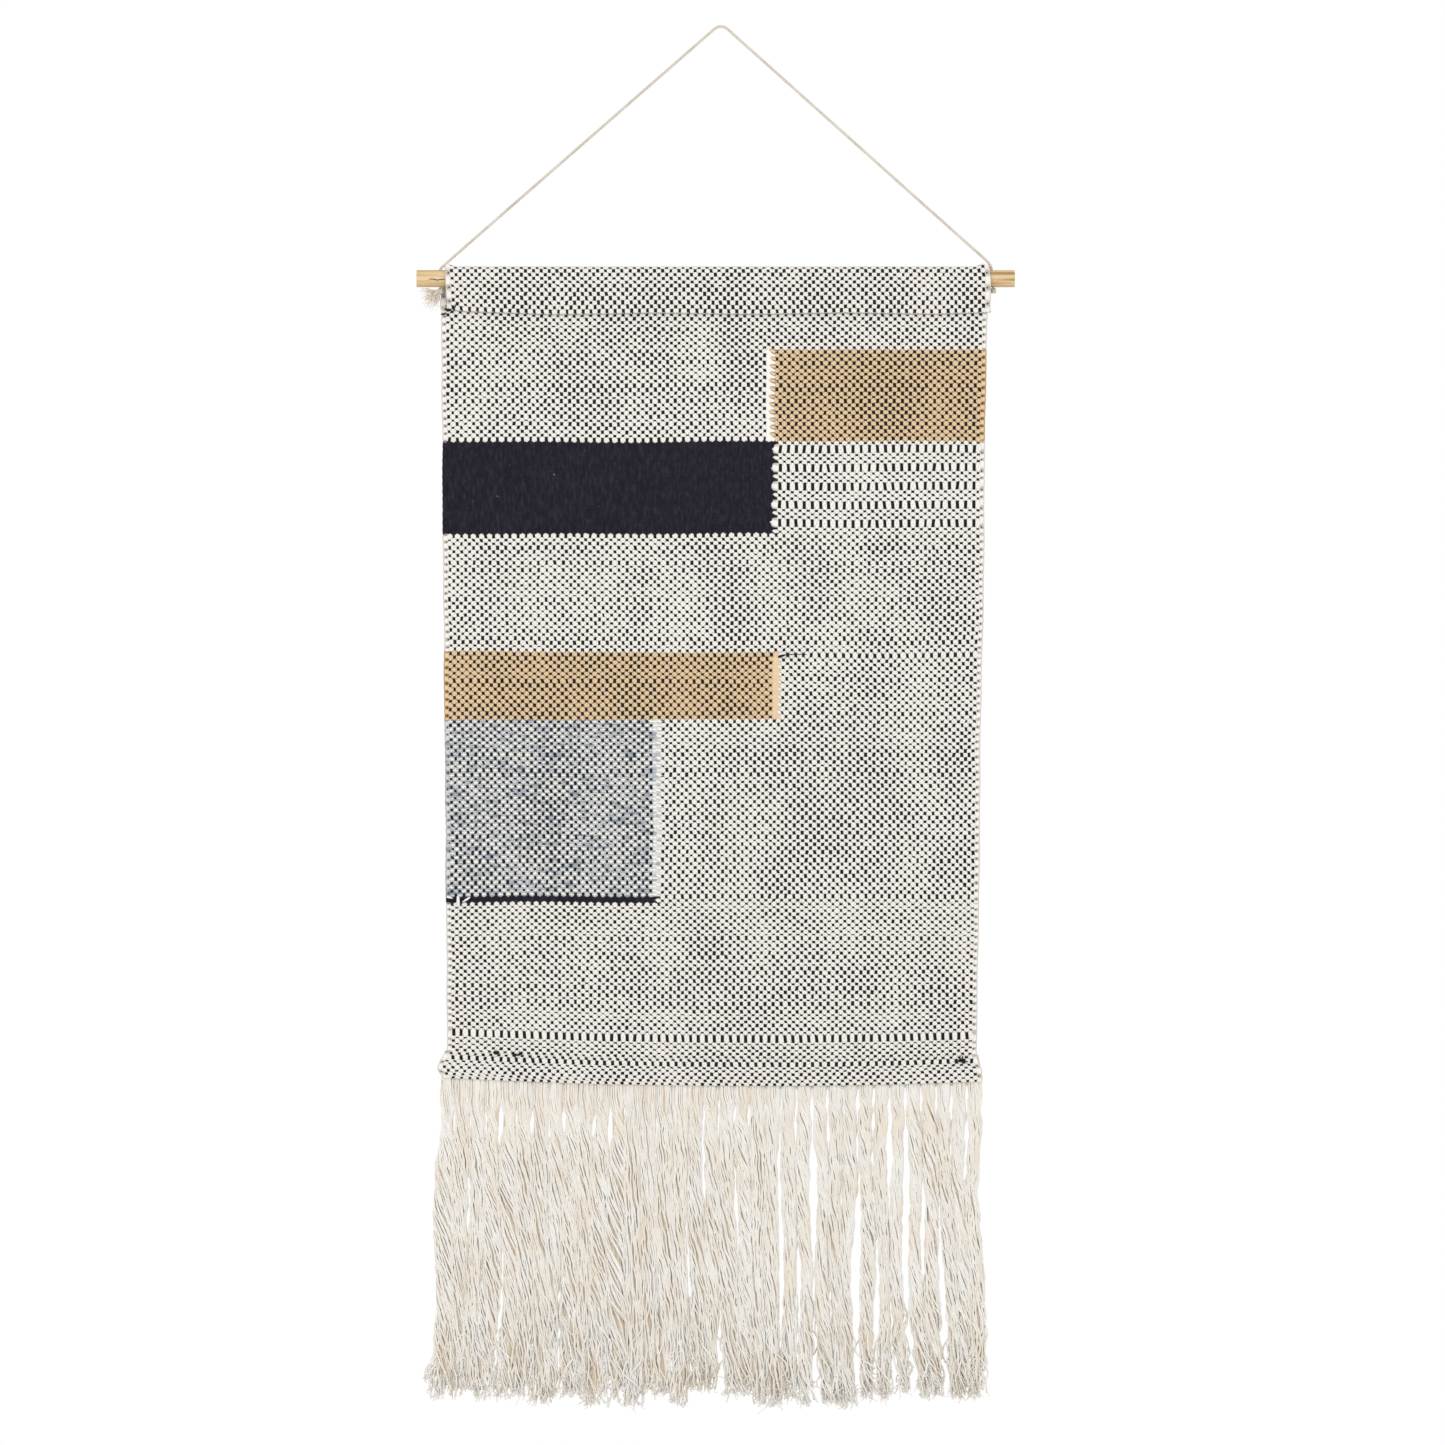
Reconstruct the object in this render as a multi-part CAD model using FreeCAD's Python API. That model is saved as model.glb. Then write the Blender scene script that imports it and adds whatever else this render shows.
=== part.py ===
"""Tapestry wall hanging: a woven cotton cloth on a wooden dowel, hung by one cord, with a fringe.

Units are millimetres. X runs to the right as seen from the front, Z is up, and the front of the
cloth faces -Y. The origin is the hanging point, where the inside of the cord's bend rests on a nail.
"""
import FreeCAD
import Part
import math
import os
import random

Vector = FreeCAD.Vector

# Dowel: 5/8 inch stock cut to 22 inches, drilled through near each end for the cord.
DOWEL_LENGTH = 558.8
DOWEL_RADIUS = 8.0
DOWEL_LEFT = -284.4
DOWEL_Z = -234.0
DOWEL_CHAMFER = 0.4
CORD_HOLE_RADIUS = 2.2
LEFT_HOLE_X = -261.8
RIGHT_HOLE_X = 254.3

# Cord: twisted cotton, pulled tight from the left hole over the nail to the right hole.
CORD_RADIUS = 1.5
NAIL_BEND_RADIUS = 9.5
HOLE_BEND_RADIUS = 4.0
CORD_APEX = (0.0, 4.7)
CORD_MOUTH_Z = -223.8
KNOT_RADIUS = 3.5
KNOT_DROP = 2.8
KNOT_TOP_Z = DOWEL_Z - DOWEL_RADIUS - 0.6
TAIL_LENGTH = 18.0
TAIL_END_RADIUS = 5.5
TAIL_DIRECTION = Vector(-0.78, 0, -0.63)

# Cloth: one layer is this thick, and its mid-plane hangs straight below the dowel's axis.
CLOTH = 2.8
FRONT = -CLOTH / 2
BACK = CLOTH / 2
DOWEL_CLEARANCE = 0.4

# Rod pocket: the cloth's top end, folded forward over the dowel and sewn down to the front.
POCKET_LEFT = -257.4
POCKET_RIGHT = 250.4
POCKET_SEAM_Z = -265.0
POCKET_MEET_Z = -256.5

# The cloth narrows a little from the pocket to the hem, and the folded hem flares out again.
TOP_LEFT = -261.5
TOP_RIGHT = 248.0
FOOT_LEFT = -255.8
FOOT_RIGHT = 239.4
HEM_LEFT = -264.6
HEM_RIGHT = 244.6

# Levels at which the weft yarn changes.
UPPER_TAN_TOP = -299.7
NAVY_TOP = -386.0
NAVY_BOTTOM = -472.6
LOWER_TAN_TOP = -582.8
NAVY_LINE_DEPTH = 5.6
LOWER_TAN_BOTTOM = -645.6
GREY_BOTTOM = -810.4
GREY_LINE_BOTTOM = -816.4
DASH_ROW_TOP = -937.4
DASH_ROW_BOTTOM = -947.8
HEM_TOP = -960.0
HEM_BOTTOM = -986.0
HEM_FLARE_SHARE = 0.6
HEM_ROUNDING = 0.9

# Places across the cloth where two weft yarns meet.
UPPER_TAN_LEFT = 50.5
NAVY_RIGHT = 52.0
LOWER_TAN_RIGHT = 56.0
GREY_RIGHT = -61.7

# Sewing thread.
STITCH = (3.0, 0.6, 0.8)
STITCH_PITCH = 7.6
STITCH_MARGIN = 4.0
STITCH_RISE = 0.4
HEM_KNOTS_X = (-210.0, -190.5, 224.5)
HEM_KNOT = (5.0, 1.2, 2.6)
HEM_KNOT_DROP = 0.5

# Fringe: cotton yarns in bundles that hang from a heading sewn to the back of the hem.
HEADING_DEPTH = 1.8
HEADING_TOP_Z = -967.0
HEADING_FOOT_Z = -989.0
FRINGE_Y = 3.6
FRINGE_HINGE_Z = -989.6
FRINGE_HINGE_GAP = 2.9
BUNDLES = 35
BUNDLE_LEFT = -263.5
BUNDLE_RIGHT = 244.5
BUNDLE_GAP = 1.1
BUNDLE_THICKNESS = (4.6, 5.4, 6.0)
FRINGE_END_Z = -1286.0
FRINGE_END_SPREAD = 8.0
FRINGE_FLARE = 1.035
FRINGE_SEED = 11

LEVEL = Vector(1, 0, 0)
TOWARDS_BACK = Vector(0, 1, 0)
UP = Vector(0, 0, 1)


def save(shape, name):
    """Write one named piece."""
    shape.exportStep("parts/" + name + ".step")


def box(x0, x1, y0, y1, z0, z1):
    """A box from its low and high corners."""
    return Part.makeBox(x1 - x0, y1 - y0, z1 - z0, Vector(x0, y0, z0))


def slab(outline, y0, y1):
    """A flat piece with an outline of (x, z) points, from y0 to y1."""
    corners = [Vector(x, y0, z) for x, z in outline]
    face = Part.Face(Part.makePolygon(corners + corners[:1]))
    return face.extrude(TOWARDS_BACK * (y1 - y0))


def blend(a, b, share):
    return a + (b - a) * share


# The dowel and its cord


def dowel():
    """The rod, with softened ends and the two holes that the cord passes down through."""
    rod = Part.makeCylinder(DOWEL_RADIUS, DOWEL_LENGTH, Vector(DOWEL_LEFT, 0, DOWEL_Z), LEVEL)
    ends = [e for e in rod.Edges if isinstance(e.Curve, Part.Circle)]
    rod = rod.makeChamfer(DOWEL_CHAMFER, ends)
    for x in (LEFT_HOLE_X, RIGHT_HOLE_X):
        base = Vector(x, 0, DOWEL_Z - 2 * DOWEL_RADIUS)
        rod = rod.cut(Part.makeCylinder(CORD_HOLE_RADIUS, 4 * DOWEL_RADIUS, base, UP))
    return rod


def rounded_wire(points, radii):
    """Straight runs through the points, joined at each inner point by a tangent arc."""
    edges = []
    start = points[0]
    for corner, after, radius in zip(points[1:-1], points[2:], radii):
        into = (corner - start).normalize()
        out = (after - corner).normalize()
        half_turn = into.getAngle(out) / 2
        reach = radius * math.tan(half_turn)
        arc_start = corner - into * reach
        arc_end = corner + out * reach
        inward = (out - into).normalize()
        middle = corner + inward * radius * (1 / math.cos(half_turn) - 1)
        edges.append(Part.LineSegment(start, arc_start).toShape())
        edges.append(Part.Arc(arc_start, middle, arc_end).toShape())
        start = arc_end
    edges.append(Part.LineSegment(start, points[-1]).toShape())
    return Part.Wire(edges)


def hanging_cord():
    """The tight cord, from the top of one stopper knot to the top of the other."""
    route = [
        Vector(LEFT_HOLE_X, 0, KNOT_TOP_Z),
        Vector(LEFT_HOLE_X, 0, CORD_MOUTH_Z),
        Vector(CORD_APEX[0], 0, CORD_APEX[1]),
        Vector(RIGHT_HOLE_X, 0, CORD_MOUTH_Z),
        Vector(RIGHT_HOLE_X, 0, KNOT_TOP_Z),
    ]
    radii = [HOLE_BEND_RADIUS, NAIL_BEND_RADIUS, HOLE_BEND_RADIUS]
    path = rounded_wire(route, radii)
    section = Part.Wire(Part.makeCircle(CORD_RADIUS, route[0], UP))
    tube = path.makePipeShell([section], True, False)
    expected = math.pi * CORD_RADIUS**2 * path.Length
    print("cord radii", radii, "length", round(path.Length, 1))
    print("cord volume", round(tube.Volume, 1), "section x length", round(expected, 1))
    return tube


def stopper_knot(x):
    """A knot under the dowel, flattened where it pulls up against the wood."""
    centre = Vector(x, 0, KNOT_TOP_Z - KNOT_DROP)
    knot = Part.makeSphere(KNOT_RADIUS, centre)
    above = box(x - 10, x + 10, -10, 10, KNOT_TOP_Z, KNOT_TOP_Z + 10)
    return knot.cut(above)


def cord_tail(knot):
    """The frayed end of the cord, a brush that fans out from the left knot."""
    centre = Vector(LEFT_HOLE_X, 0, KNOT_TOP_Z - KNOT_DROP)
    away = Vector(TAIL_DIRECTION).normalize()
    brush = Part.makeCone(CORD_RADIUS, TAIL_END_RADIUS, TAIL_LENGTH, centre, away)
    below_dowel = box(-400, 0, -50, 50, -400, KNOT_TOP_Z)
    return brush.common(below_dowel).cut(knot)


# The cloth


def tangent_point(radius, point, side):
    """Where a line from an outside (y, z) point touches a circle round the dowel's axis."""
    y = point[0]
    z = point[1] - DOWEL_Z
    reach = math.hypot(y, z)
    towards = math.atan2(z, y)
    angle = towards + side * math.acos(radius / reach)
    return radius * math.cos(angle), DOWEL_Z + radius * math.sin(angle)


def pocket_loop(radius, front_foot, back_foot):
    """A teardrop over the dowel: an arc over the top and straight sides down to its feet."""
    front = tangent_point(radius, front_foot, -1)
    back = tangent_point(radius, back_foot, 1)
    x = POCKET_LEFT
    front_top = Vector(x, front[0], front[1])
    back_top = Vector(x, back[0], back[1])
    front_low = Vector(x, front_foot[0], front_foot[1])
    back_low = Vector(x, back_foot[0], back_foot[1])
    crown = Vector(x, 0, DOWEL_Z + radius)
    edges = [
        Part.LineSegment(front_low, front_top).toShape(),
        Part.Arc(front_top, crown, back_top).toShape(),
        Part.LineSegment(back_top, back_low).toShape(),
    ]
    if front_foot != back_foot:
        edges.append(Part.LineSegment(back_low, front_low).toShape())
    return Part.Face(Part.Wire(edges))


def rod_pocket():
    """The sleeve that the dowel lies in, with its front layer sewn down at the seam."""
    inner_radius = DOWEL_RADIUS + DOWEL_CLEARANCE
    flap_foot = (FRONT - CLOTH, POCKET_SEAM_Z)
    cloth_foot = (BACK, POCKET_SEAM_Z)
    meeting = (FRONT, POCKET_MEET_Z)
    outside = pocket_loop(inner_radius + CLOTH, flap_foot, cloth_foot)
    inside = pocket_loop(inner_radius, meeting, meeting)
    return outside.cut(inside).extrude(LEVEL * (POCKET_RIGHT - POCKET_LEFT))


def edge_at(z, top_x, foot_x):
    """A side edge of the cloth at height z."""
    share = (z - POCKET_SEAM_Z) / (HEM_TOP - POCKET_SEAM_Z)
    return blend(top_x, foot_x, share)


def cloth_area(top, bottom, left=None, right=None):
    """An area woven with one weft yarn. A side that isn't given is the cloth's own edge."""
    if left is None:
        left_top = edge_at(top, TOP_LEFT, FOOT_LEFT)
        left_bottom = edge_at(bottom, TOP_LEFT, FOOT_LEFT)
    else:
        left_top = left
        left_bottom = left
    if right is None:
        right_top = edge_at(top, TOP_RIGHT, FOOT_RIGHT)
        right_bottom = edge_at(bottom, TOP_RIGHT, FOOT_RIGHT)
    else:
        right_top = right
        right_bottom = right
    corners = [(left_top, top), (right_top, top), (right_bottom, bottom), (left_bottom, bottom)]
    return slab(corners, FRONT, BACK)


def cloth_areas():
    """Every woven area by name, from the pocket down to the hem."""
    line_bottom = LOWER_TAN_TOP - NAVY_LINE_DEPTH
    return {
        "ecru_field_top": cloth_area(POCKET_SEAM_Z, UPPER_TAN_TOP),
        "ecru_field_upper_left": cloth_area(UPPER_TAN_TOP, NAVY_TOP, right=UPPER_TAN_LEFT),
        "tan_block_upper": cloth_area(UPPER_TAN_TOP, NAVY_TOP, left=UPPER_TAN_LEFT),
        "navy_block": cloth_area(NAVY_TOP, NAVY_BOTTOM, right=NAVY_RIGHT),
        "dashed_block": cloth_area(NAVY_TOP, NAVY_BOTTOM, left=NAVY_RIGHT),
        "ecru_field_middle": cloth_area(NAVY_BOTTOM, LOWER_TAN_TOP),
        "tan_block_lower": cloth_area(LOWER_TAN_TOP, LOWER_TAN_BOTTOM, right=LOWER_TAN_RIGHT),
        "navy_line_right": cloth_area(LOWER_TAN_TOP, line_bottom, left=LOWER_TAN_RIGHT),
        "ecru_field_right": cloth_area(line_bottom, LOWER_TAN_BOTTOM, left=LOWER_TAN_RIGHT),
        "grey_block": cloth_area(LOWER_TAN_BOTTOM, GREY_BOTTOM, right=GREY_RIGHT),
        "navy_line_left": cloth_area(GREY_BOTTOM, GREY_LINE_BOTTOM, right=GREY_RIGHT),
        "ecru_field_lower_right": cloth_area(
            LOWER_TAN_BOTTOM, GREY_LINE_BOTTOM, left=GREY_RIGHT
        ),
        "ecru_field_bottom": cloth_area(GREY_LINE_BOTTOM, DASH_ROW_TOP),
        "dashed_row": cloth_area(DASH_ROW_TOP, DASH_ROW_BOTTOM),
        "ecru_field_foot": cloth_area(DASH_ROW_BOTTOM, HEM_TOP),
    }


def bottom_hem():
    """The cloth's bottom end, folded to the back into two layers, with a rounded fold."""
    widest_z = blend(HEM_TOP, HEM_BOTTOM, HEM_FLARE_SHARE)
    outline = [
        (FOOT_LEFT, HEM_TOP),
        (FOOT_RIGHT, HEM_TOP),
        (HEM_RIGHT, widest_z),
        (HEM_RIGHT, HEM_BOTTOM),
        (HEM_LEFT, HEM_BOTTOM),
        (HEM_LEFT, widest_z),
    ]
    hem = slab(outline, FRONT, BACK + CLOTH)
    along_foot = [e for e in hem.Edges if e.BoundBox.ZMax < HEM_BOTTOM + 0.1]
    fold = [e for e in along_foot if e.BoundBox.XLength > CLOTH]
    return hem.makeFillet(CLOTH * HEM_ROUNDING, fold)


def pocket_stitching(pocket):
    """The running stitch that sews the flap down, as separate short stitches on its front."""
    length, proud, height = STITCH
    face_y = FRONT - CLOTH
    low_z = POCKET_SEAM_Z + STITCH_RISE
    run = POCKET_RIGHT - POCKET_LEFT - 2 * STITCH_MARGIN
    stitches = []
    for i in range(int(run / STITCH_PITCH) + 1):
        x = POCKET_LEFT + STITCH_MARGIN + i * STITCH_PITCH
        stitch = box(x, x + length, face_y - proud, face_y, low_z, low_z + height)
        stitches.append(stitch.cut(pocket))
    return Part.Compound(stitches)


def hem_knots():
    """The finished-off ends of the hem's thread, on the front."""
    width, proud, height = HEM_KNOT
    knots = []
    high_z = HEM_TOP - HEM_KNOT_DROP
    for x in HEM_KNOTS_X:
        knots.append(
            box(x - width / 2, x + width / 2, FRONT - proud, FRONT, high_z - height, high_z)
        )
    return Part.Compound(knots)


# The fringe


def fringe_heading():
    """The band of yarn ends, side by side, sewn to the back of the hem."""
    back_of_hem = BACK + CLOTH
    deepest = back_of_hem + HEADING_DEPTH
    return box(BUNDLE_LEFT, BUNDLE_RIGHT, back_of_hem, deepest, HEADING_FOOT_Z, HEADING_TOP_Z)


def fringe_bundle(number, variation):
    """One hanging bundle of yarns: flat, leaning outwards a little, and fuller at its cut end."""
    pitch = (BUNDLE_RIGHT - BUNDLE_LEFT) / BUNDLES
    top_x = BUNDLE_LEFT + (number + 0.5) * pitch
    middle_of_fringe = (BUNDLE_LEFT + BUNDLE_RIGHT) / 2
    foot_x = middle_of_fringe + (top_x - middle_of_fringe) * FRINGE_FLARE
    top_z = FRINGE_HINGE_Z - FRINGE_HINGE_GAP
    foot_z = FRINGE_END_Z + variation.uniform(-FRINGE_END_SPREAD, FRINGE_END_SPREAD)
    width = pitch - BUNDLE_GAP
    sections = []
    for share, thickness in zip((0, 0.5, 1), BUNDLE_THICKNESS):
        centre = Vector(blend(top_x, foot_x, share), FRINGE_Y, blend(top_z, foot_z, share))
        side = centre + LEVEL * width / 2
        back = centre + TOWARDS_BACK * thickness / 2
        oval = Part.Ellipse(side, back, centre)
        sections.append(Part.Wire(oval.toShape()))
    return Part.makeLoft(sections, True, False)


def main():
    os.makedirs("parts", exist_ok=True)
    left_knot = stopper_knot(LEFT_HOLE_X)
    pocket = rod_pocket()
    pieces = {
        "dowel": dowel(),
        "hanging_cord": hanging_cord(),
        "stopper_knot_left": left_knot,
        "stopper_knot_right": stopper_knot(RIGHT_HOLE_X),
        "cord_tail_left": cord_tail(left_knot),
        "rod_pocket": pocket,
        "bottom_hem": bottom_hem(),
        "pocket_stitching": pocket_stitching(pocket),
        "hem_thread_knots": hem_knots(),
        "fringe_heading": fringe_heading(),
    }
    pieces.update(cloth_areas())
    variation = random.Random(FRINGE_SEED)
    for number in range(BUNDLES):
        name = "fringe_bundle_" + str(number + 1).zfill(2)
        pieces[name] = fringe_bundle(number, variation)
    for name, shape in pieces.items():
        if not shape.isValid():
            print("not valid:", name)
        save(shape, name)
    print(len(pieces), "pieces")


main()
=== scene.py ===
"""Blender scene of a woven cotton wall hanging on a pine dowel, with a cord and a fringe.

Lengths are in millimetres in the same frame as the CAD model (X right, Z up, front towards -Y,
origin at the hanging point), and become metres when a mesh is made.
"""

import math
import random

import bpy
import numpy as np
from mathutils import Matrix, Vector


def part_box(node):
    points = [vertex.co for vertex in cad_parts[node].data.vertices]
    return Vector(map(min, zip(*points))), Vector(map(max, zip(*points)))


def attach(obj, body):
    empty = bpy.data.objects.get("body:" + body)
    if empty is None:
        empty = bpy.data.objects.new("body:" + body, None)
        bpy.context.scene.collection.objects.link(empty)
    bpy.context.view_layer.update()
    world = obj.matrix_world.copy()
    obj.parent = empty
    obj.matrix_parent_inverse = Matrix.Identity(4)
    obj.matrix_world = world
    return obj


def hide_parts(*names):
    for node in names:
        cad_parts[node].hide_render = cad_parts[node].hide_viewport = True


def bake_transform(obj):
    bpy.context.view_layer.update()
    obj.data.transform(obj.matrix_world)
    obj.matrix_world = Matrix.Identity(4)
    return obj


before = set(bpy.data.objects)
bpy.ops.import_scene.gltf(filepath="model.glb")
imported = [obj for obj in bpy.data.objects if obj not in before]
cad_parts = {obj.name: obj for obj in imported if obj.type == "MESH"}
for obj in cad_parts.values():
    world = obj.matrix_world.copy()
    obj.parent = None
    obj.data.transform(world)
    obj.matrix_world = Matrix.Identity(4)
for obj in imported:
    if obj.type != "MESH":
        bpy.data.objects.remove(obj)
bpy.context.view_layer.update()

MM = 0.001

# Camera: straight on, far away, with the frame's centre and width at the cloth.
CAMERA_CENTRE = (1.4, -648.7)
CAMERA_DISTANCE = 9000.0
FRAME_WIDTH = 1350.2
SENSOR_WIDTH = 36.0
FLOOR_Z = -1420.0

# Dowel and cord, as in the CAD model.
DOWEL_Z = -234.0
DOWEL_RADIUS = 8.0
LEFT_HOLE_X = -261.8
RIGHT_HOLE_X = 254.3
KNOT_TOP_Z = -242.6
KNOT_CENTRE_Z = -245.4
CORD_ROUTE = [
    (LEFT_HOLE_X, 0, KNOT_TOP_Z),
    (-262.2, 0, -229.0),
    (-262.9, 0, -225.4),
    (-259.8, 0, -222.3),
    (-253.6, 0, -216.8),
    (-13.6, 0, -7.1),
    (0, 0, 4.7),
    (13.4, 0, -7.3),
    (240.9, 0, -210.9),
    (248.6, 0, -217.2),
    (253.9, 0, -225.2),
    (RIGHT_HOLE_X, 0, KNOT_TOP_Z),
]

# The cord's plies, pulled tighter in its knots, and the length of one turn of them.
CORD_PLIES = 2
CORD_PLY_RADIUS = 0.88
CORD_PLY_OFFSET = 0.62
CORD_LAY = 5.5
KNOT_PLY_RADIUS = 0.8
KNOT_PLY_OFFSET = 0.55

# Cloth: thickness of one layer, and levels at which the weft yarn changes.
CLOTH = 2.8
POCKET_SEAM_Z = -265.0
UPPER_TAN_TOP = -299.7
NAVY_TOP = -386.0
NAVY_BOTTOM = -472.6
LOWER_TAN_TOP = -582.8
NAVY_LINE_BOTTOM = -588.4
LOWER_TAN_BOTTOM = -645.6
GREY_BOTTOM = -810.4
GREY_LINE_BOTTOM = -816.4
DASH_ROW_TOP = -937.4
DASH_ROW_BOTTOM = -947.8
HEM_TOP = -960.0
HEM_BOTTOM = -986.0

# x of the joins between two yarns.
UPPER_TAN_JOIN = 53.5
DASHED_JOIN = 56.0
LOWER_TAN_JOIN = 59.1
GREY_JOIN = -54.8

# Weave.
WARP_ENDS = 134
EDGE_MARGIN = 0.4
WARP_HALF_WIDTH = 1.42
WARP_SHARE_OF_ROW = 0.84
CROWN_HALF_WIDTH = 1.45
CROWN_SHARE_OF_ROW = 0.7
USUAL_ROW_HEIGHT = 3.55
PLAIN = 0
FLOAT = 1

# Fringe: bundles of loose yarns that hang from the hem.
BUNDLES = 35
BUNDLE_LEFT = -263.5
BUNDLE_RIGHT = 244.5
BUNDLE_PITCH = (BUNDLE_RIGHT - BUNDLE_LEFT) / BUNDLES
FRINGE_Y = 3.6
FRINGE_TOP_Z = -983.5
FRINGE_FLARE = 1.035
FRINGE_HALF_DEPTH = 3.2
FRINGE_DEPTH_LIMIT = 15.0
STRANDS = 44
SHELL_STRANDS = 32
STRAND_STEPS = 64
FIBRE_STEPS = 9

# How many sides the tubes have.
PLY_SIDES = 8
THREAD_SIDES = 6
STRAND_SIDES = 5
FIBRE_SIDES = 4
CORE_SIDES = 12

# Places where the warp shows more, as (x, z, half width, half height, strength).
DENSE_PLACES = [
    (13, -300, 18, 60, 0.5),
    (-113, -347, 38, 45, 0.9),
    (167, -347, 45, 36, 0.9),
    (13, -540, 20, 50, 0.9),
    (195, -534, 30, 50, 0.4),
    (-94, -612, 42, 26, 0.8),
    (139, -615, 28, 26, 0.5),
    (-169, -721, 34, 60, 0.8),
    (102, -735, 30, 85, 0.9),
    (22, -915, 30, 55, 0.8),
    (150, -890, 60, 30, 0.3),
    (0, -966, 500, 16, 1.3),
    (0, -242, 500, 22, 0.5),
    (-100, -315, 170, 60, 0.4),
    (150, -343, 100, 44, 0.8),
]


def blend(a, b, share):
    return a + (b - a) * share


def smooth_step(low, high, value):
    share = np.clip((value - low) / (high - low), 0, 1)
    return share * share * (3 - 2 * share)


def ripple(x, z, length, seed):
    """Smooth uneven waves, mostly between -1 and 1 and each about `length` long."""
    source = random.Random(seed)
    total = 0
    for _ in range(5):
        heading = source.uniform(0, math.tau)
        turns = math.tau * source.uniform(0.6, 1.6) / length
        along = x * math.cos(heading) + z * math.sin(heading)
        total = total + np.sin(along * turns + source.uniform(0, math.tau))
    return total / 2.5


# Meshes


def add_object(name, data):
    obj = bpy.data.objects.new(name, data)
    bpy.context.scene.collection.objects.link(obj)
    return obj


def add_mesh(name, points, faces, materials, slots=None, values=None):
    """A smooth mesh object from points in millimetres, with a number per point for the materials."""
    mesh = bpy.data.meshes.new(name)
    mesh.from_pydata((points * MM).tolist(), [], faces)
    mesh.polygons.foreach_set("use_smooth", np.ones(len(faces), bool))
    for material in materials:
        mesh.materials.append(material)
    if slots is not None:
        mesh.polygons.foreach_set("material_index", slots)
    for key, numbers in (values or {}).items():
        attribute = mesh.attributes.new(key, "FLOAT", "POINT")
        attribute.data.foreach_set("value", numbers.astype(np.float32))
    mesh.update()
    return add_object(name, mesh)


def add_piece(name, shape, material, body, slot, stands_for=None, **values):
    """A piece of one material that rides on a body, and stands for a CAD node if it has one."""
    points, faces = shape
    values = {key: value + np.zeros(len(points)) for key, value in values.items()}
    piece = add_mesh(name, points, faces, [material], values=values)
    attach(piece, body)
    if stands_for:
        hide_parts(stands_for)
    return piece


def side_vectors(paths):
    """For each path, a direction square to it that turns as little as possible along it."""
    along = np.gradient(paths, axis=1)
    along /= np.linalg.norm(along, axis=2, keepdims=True) + 1e-9
    start = np.cross(along[:, 0], (0.03, 1.0, 0.07))
    start /= np.linalg.norm(start, axis=1, keepdims=True)
    side = np.empty_like(paths)
    side[:, 0] = start
    for k in range(1, paths.shape[1]):
        turned = side[:, k - 1]
        turned = turned - along[:, k] * np.sum(turned * along[:, k], axis=1, keepdims=True)
        side[:, k] = turned / np.linalg.norm(turned, axis=1, keepdims=True)
    return side, np.cross(along, side)


def tubes(paths, radii, sides):
    """Points and faces of closed round tubes along paths of shape (strands, steps, 3)."""
    strands, steps = radii.shape
    side, other = side_vectors(paths)
    angle = np.arange(sides) * math.tau / sides
    across = np.cos(angle)[:, None] * side[:, :, None] + np.sin(angle)[:, None] * other[:, :, None]
    points = paths[:, :, None] + across * radii[:, :, None, None]
    index = np.arange(strands * steps * sides).reshape(strands, steps, sides)
    after = np.roll(index, -1, axis=2)
    corners = [index[:, :-1], index[:, 1:], after[:, 1:], after[:, :-1]]
    faces = np.stack(corners, axis=-1).reshape(-1, 4).tolist()
    faces += index[:, 0].tolist()
    faces += index[:, -1, ::-1].tolist()
    return points.reshape(-1, 3), faces


def join(parts):
    """One set of points and faces from several."""
    points = []
    faces = []
    count = 0
    for part_points, part_faces in parts:
        points.append(part_points)
        faces += [[corner + count for corner in face] for face in part_faces]
        count += len(part_points)
    return np.concatenate(points), faces


# Materials


def new_material(name, roughness, sheen=0.0):
    material = bpy.data.materials.new(name)
    material.use_nodes = True
    nodes = material.node_tree.nodes
    shader = nodes["Principled BSDF"]
    shader.inputs["Roughness"].default_value = roughness
    shader.inputs["Specular IOR Level"].default_value = 0.25
    shader.inputs["Sheen Weight"].default_value = sheen
    shader.inputs["Sheen Roughness"].default_value = 0.5
    return material, nodes, material.node_tree.links, shader


def rgb(red, green, blue):
    """A colour from 0-255 display values."""
    linear = []
    for value in (red, green, blue):
        share = value / 255
        linear.append(share / 12.92 if share <= 0.04045 else ((share + 0.055) / 1.055) ** 2.4)
    return (*linear, 1.0)


def ramp(nodes, stops):
    node = nodes.new("ShaderNodeValToRGB")
    elements = node.color_ramp.elements
    while len(elements) < len(stops):
        elements.new(0.5)
    for element, (position, colour) in zip(elements, stops):
        element.position = position
        element.color = colour
    return node


def attribute(nodes, name):
    node = nodes.new("ShaderNodeAttribute")
    node.attribute_name = name
    return node.outputs["Fac"]


def noise(nodes, links, vector, scale, stretch=(1, 1, 1), detail=2.0):
    """Noise of a size in the object's own coordinates, stretched along an axis by a small number."""
    mapping = nodes.new("ShaderNodeMapping")
    mapping.inputs["Scale"].default_value = stretch
    links.new(vector, mapping.inputs["Vector"])
    node = nodes.new("ShaderNodeTexNoise")
    node.inputs["Scale"].default_value = scale
    node.inputs["Detail"].default_value = detail
    links.new(mapping.outputs["Vector"], node.inputs["Vector"])
    return node.outputs["Fac"]


def place(nodes):
    return nodes.new("ShaderNodeTexCoord").outputs["Object"]


def feed(links, sockets, values):
    """Give each input its value, which is another node's socket or a plain value."""
    for socket, value in zip(sockets, values):
        if isinstance(value, bpy.types.NodeSocket):
            links.new(value, socket)
        else:
            socket.default_value = value


def mix(nodes, links, share, a, b, mode="MIX"):
    """Mix two colours."""
    node = nodes.new("ShaderNodeMix")
    node.data_type = "RGBA"
    node.blend_type = mode
    feed(links, (node.inputs["Factor"], node.inputs[6], node.inputs[7]), (share, a, b))
    return node.outputs[2]


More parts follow.
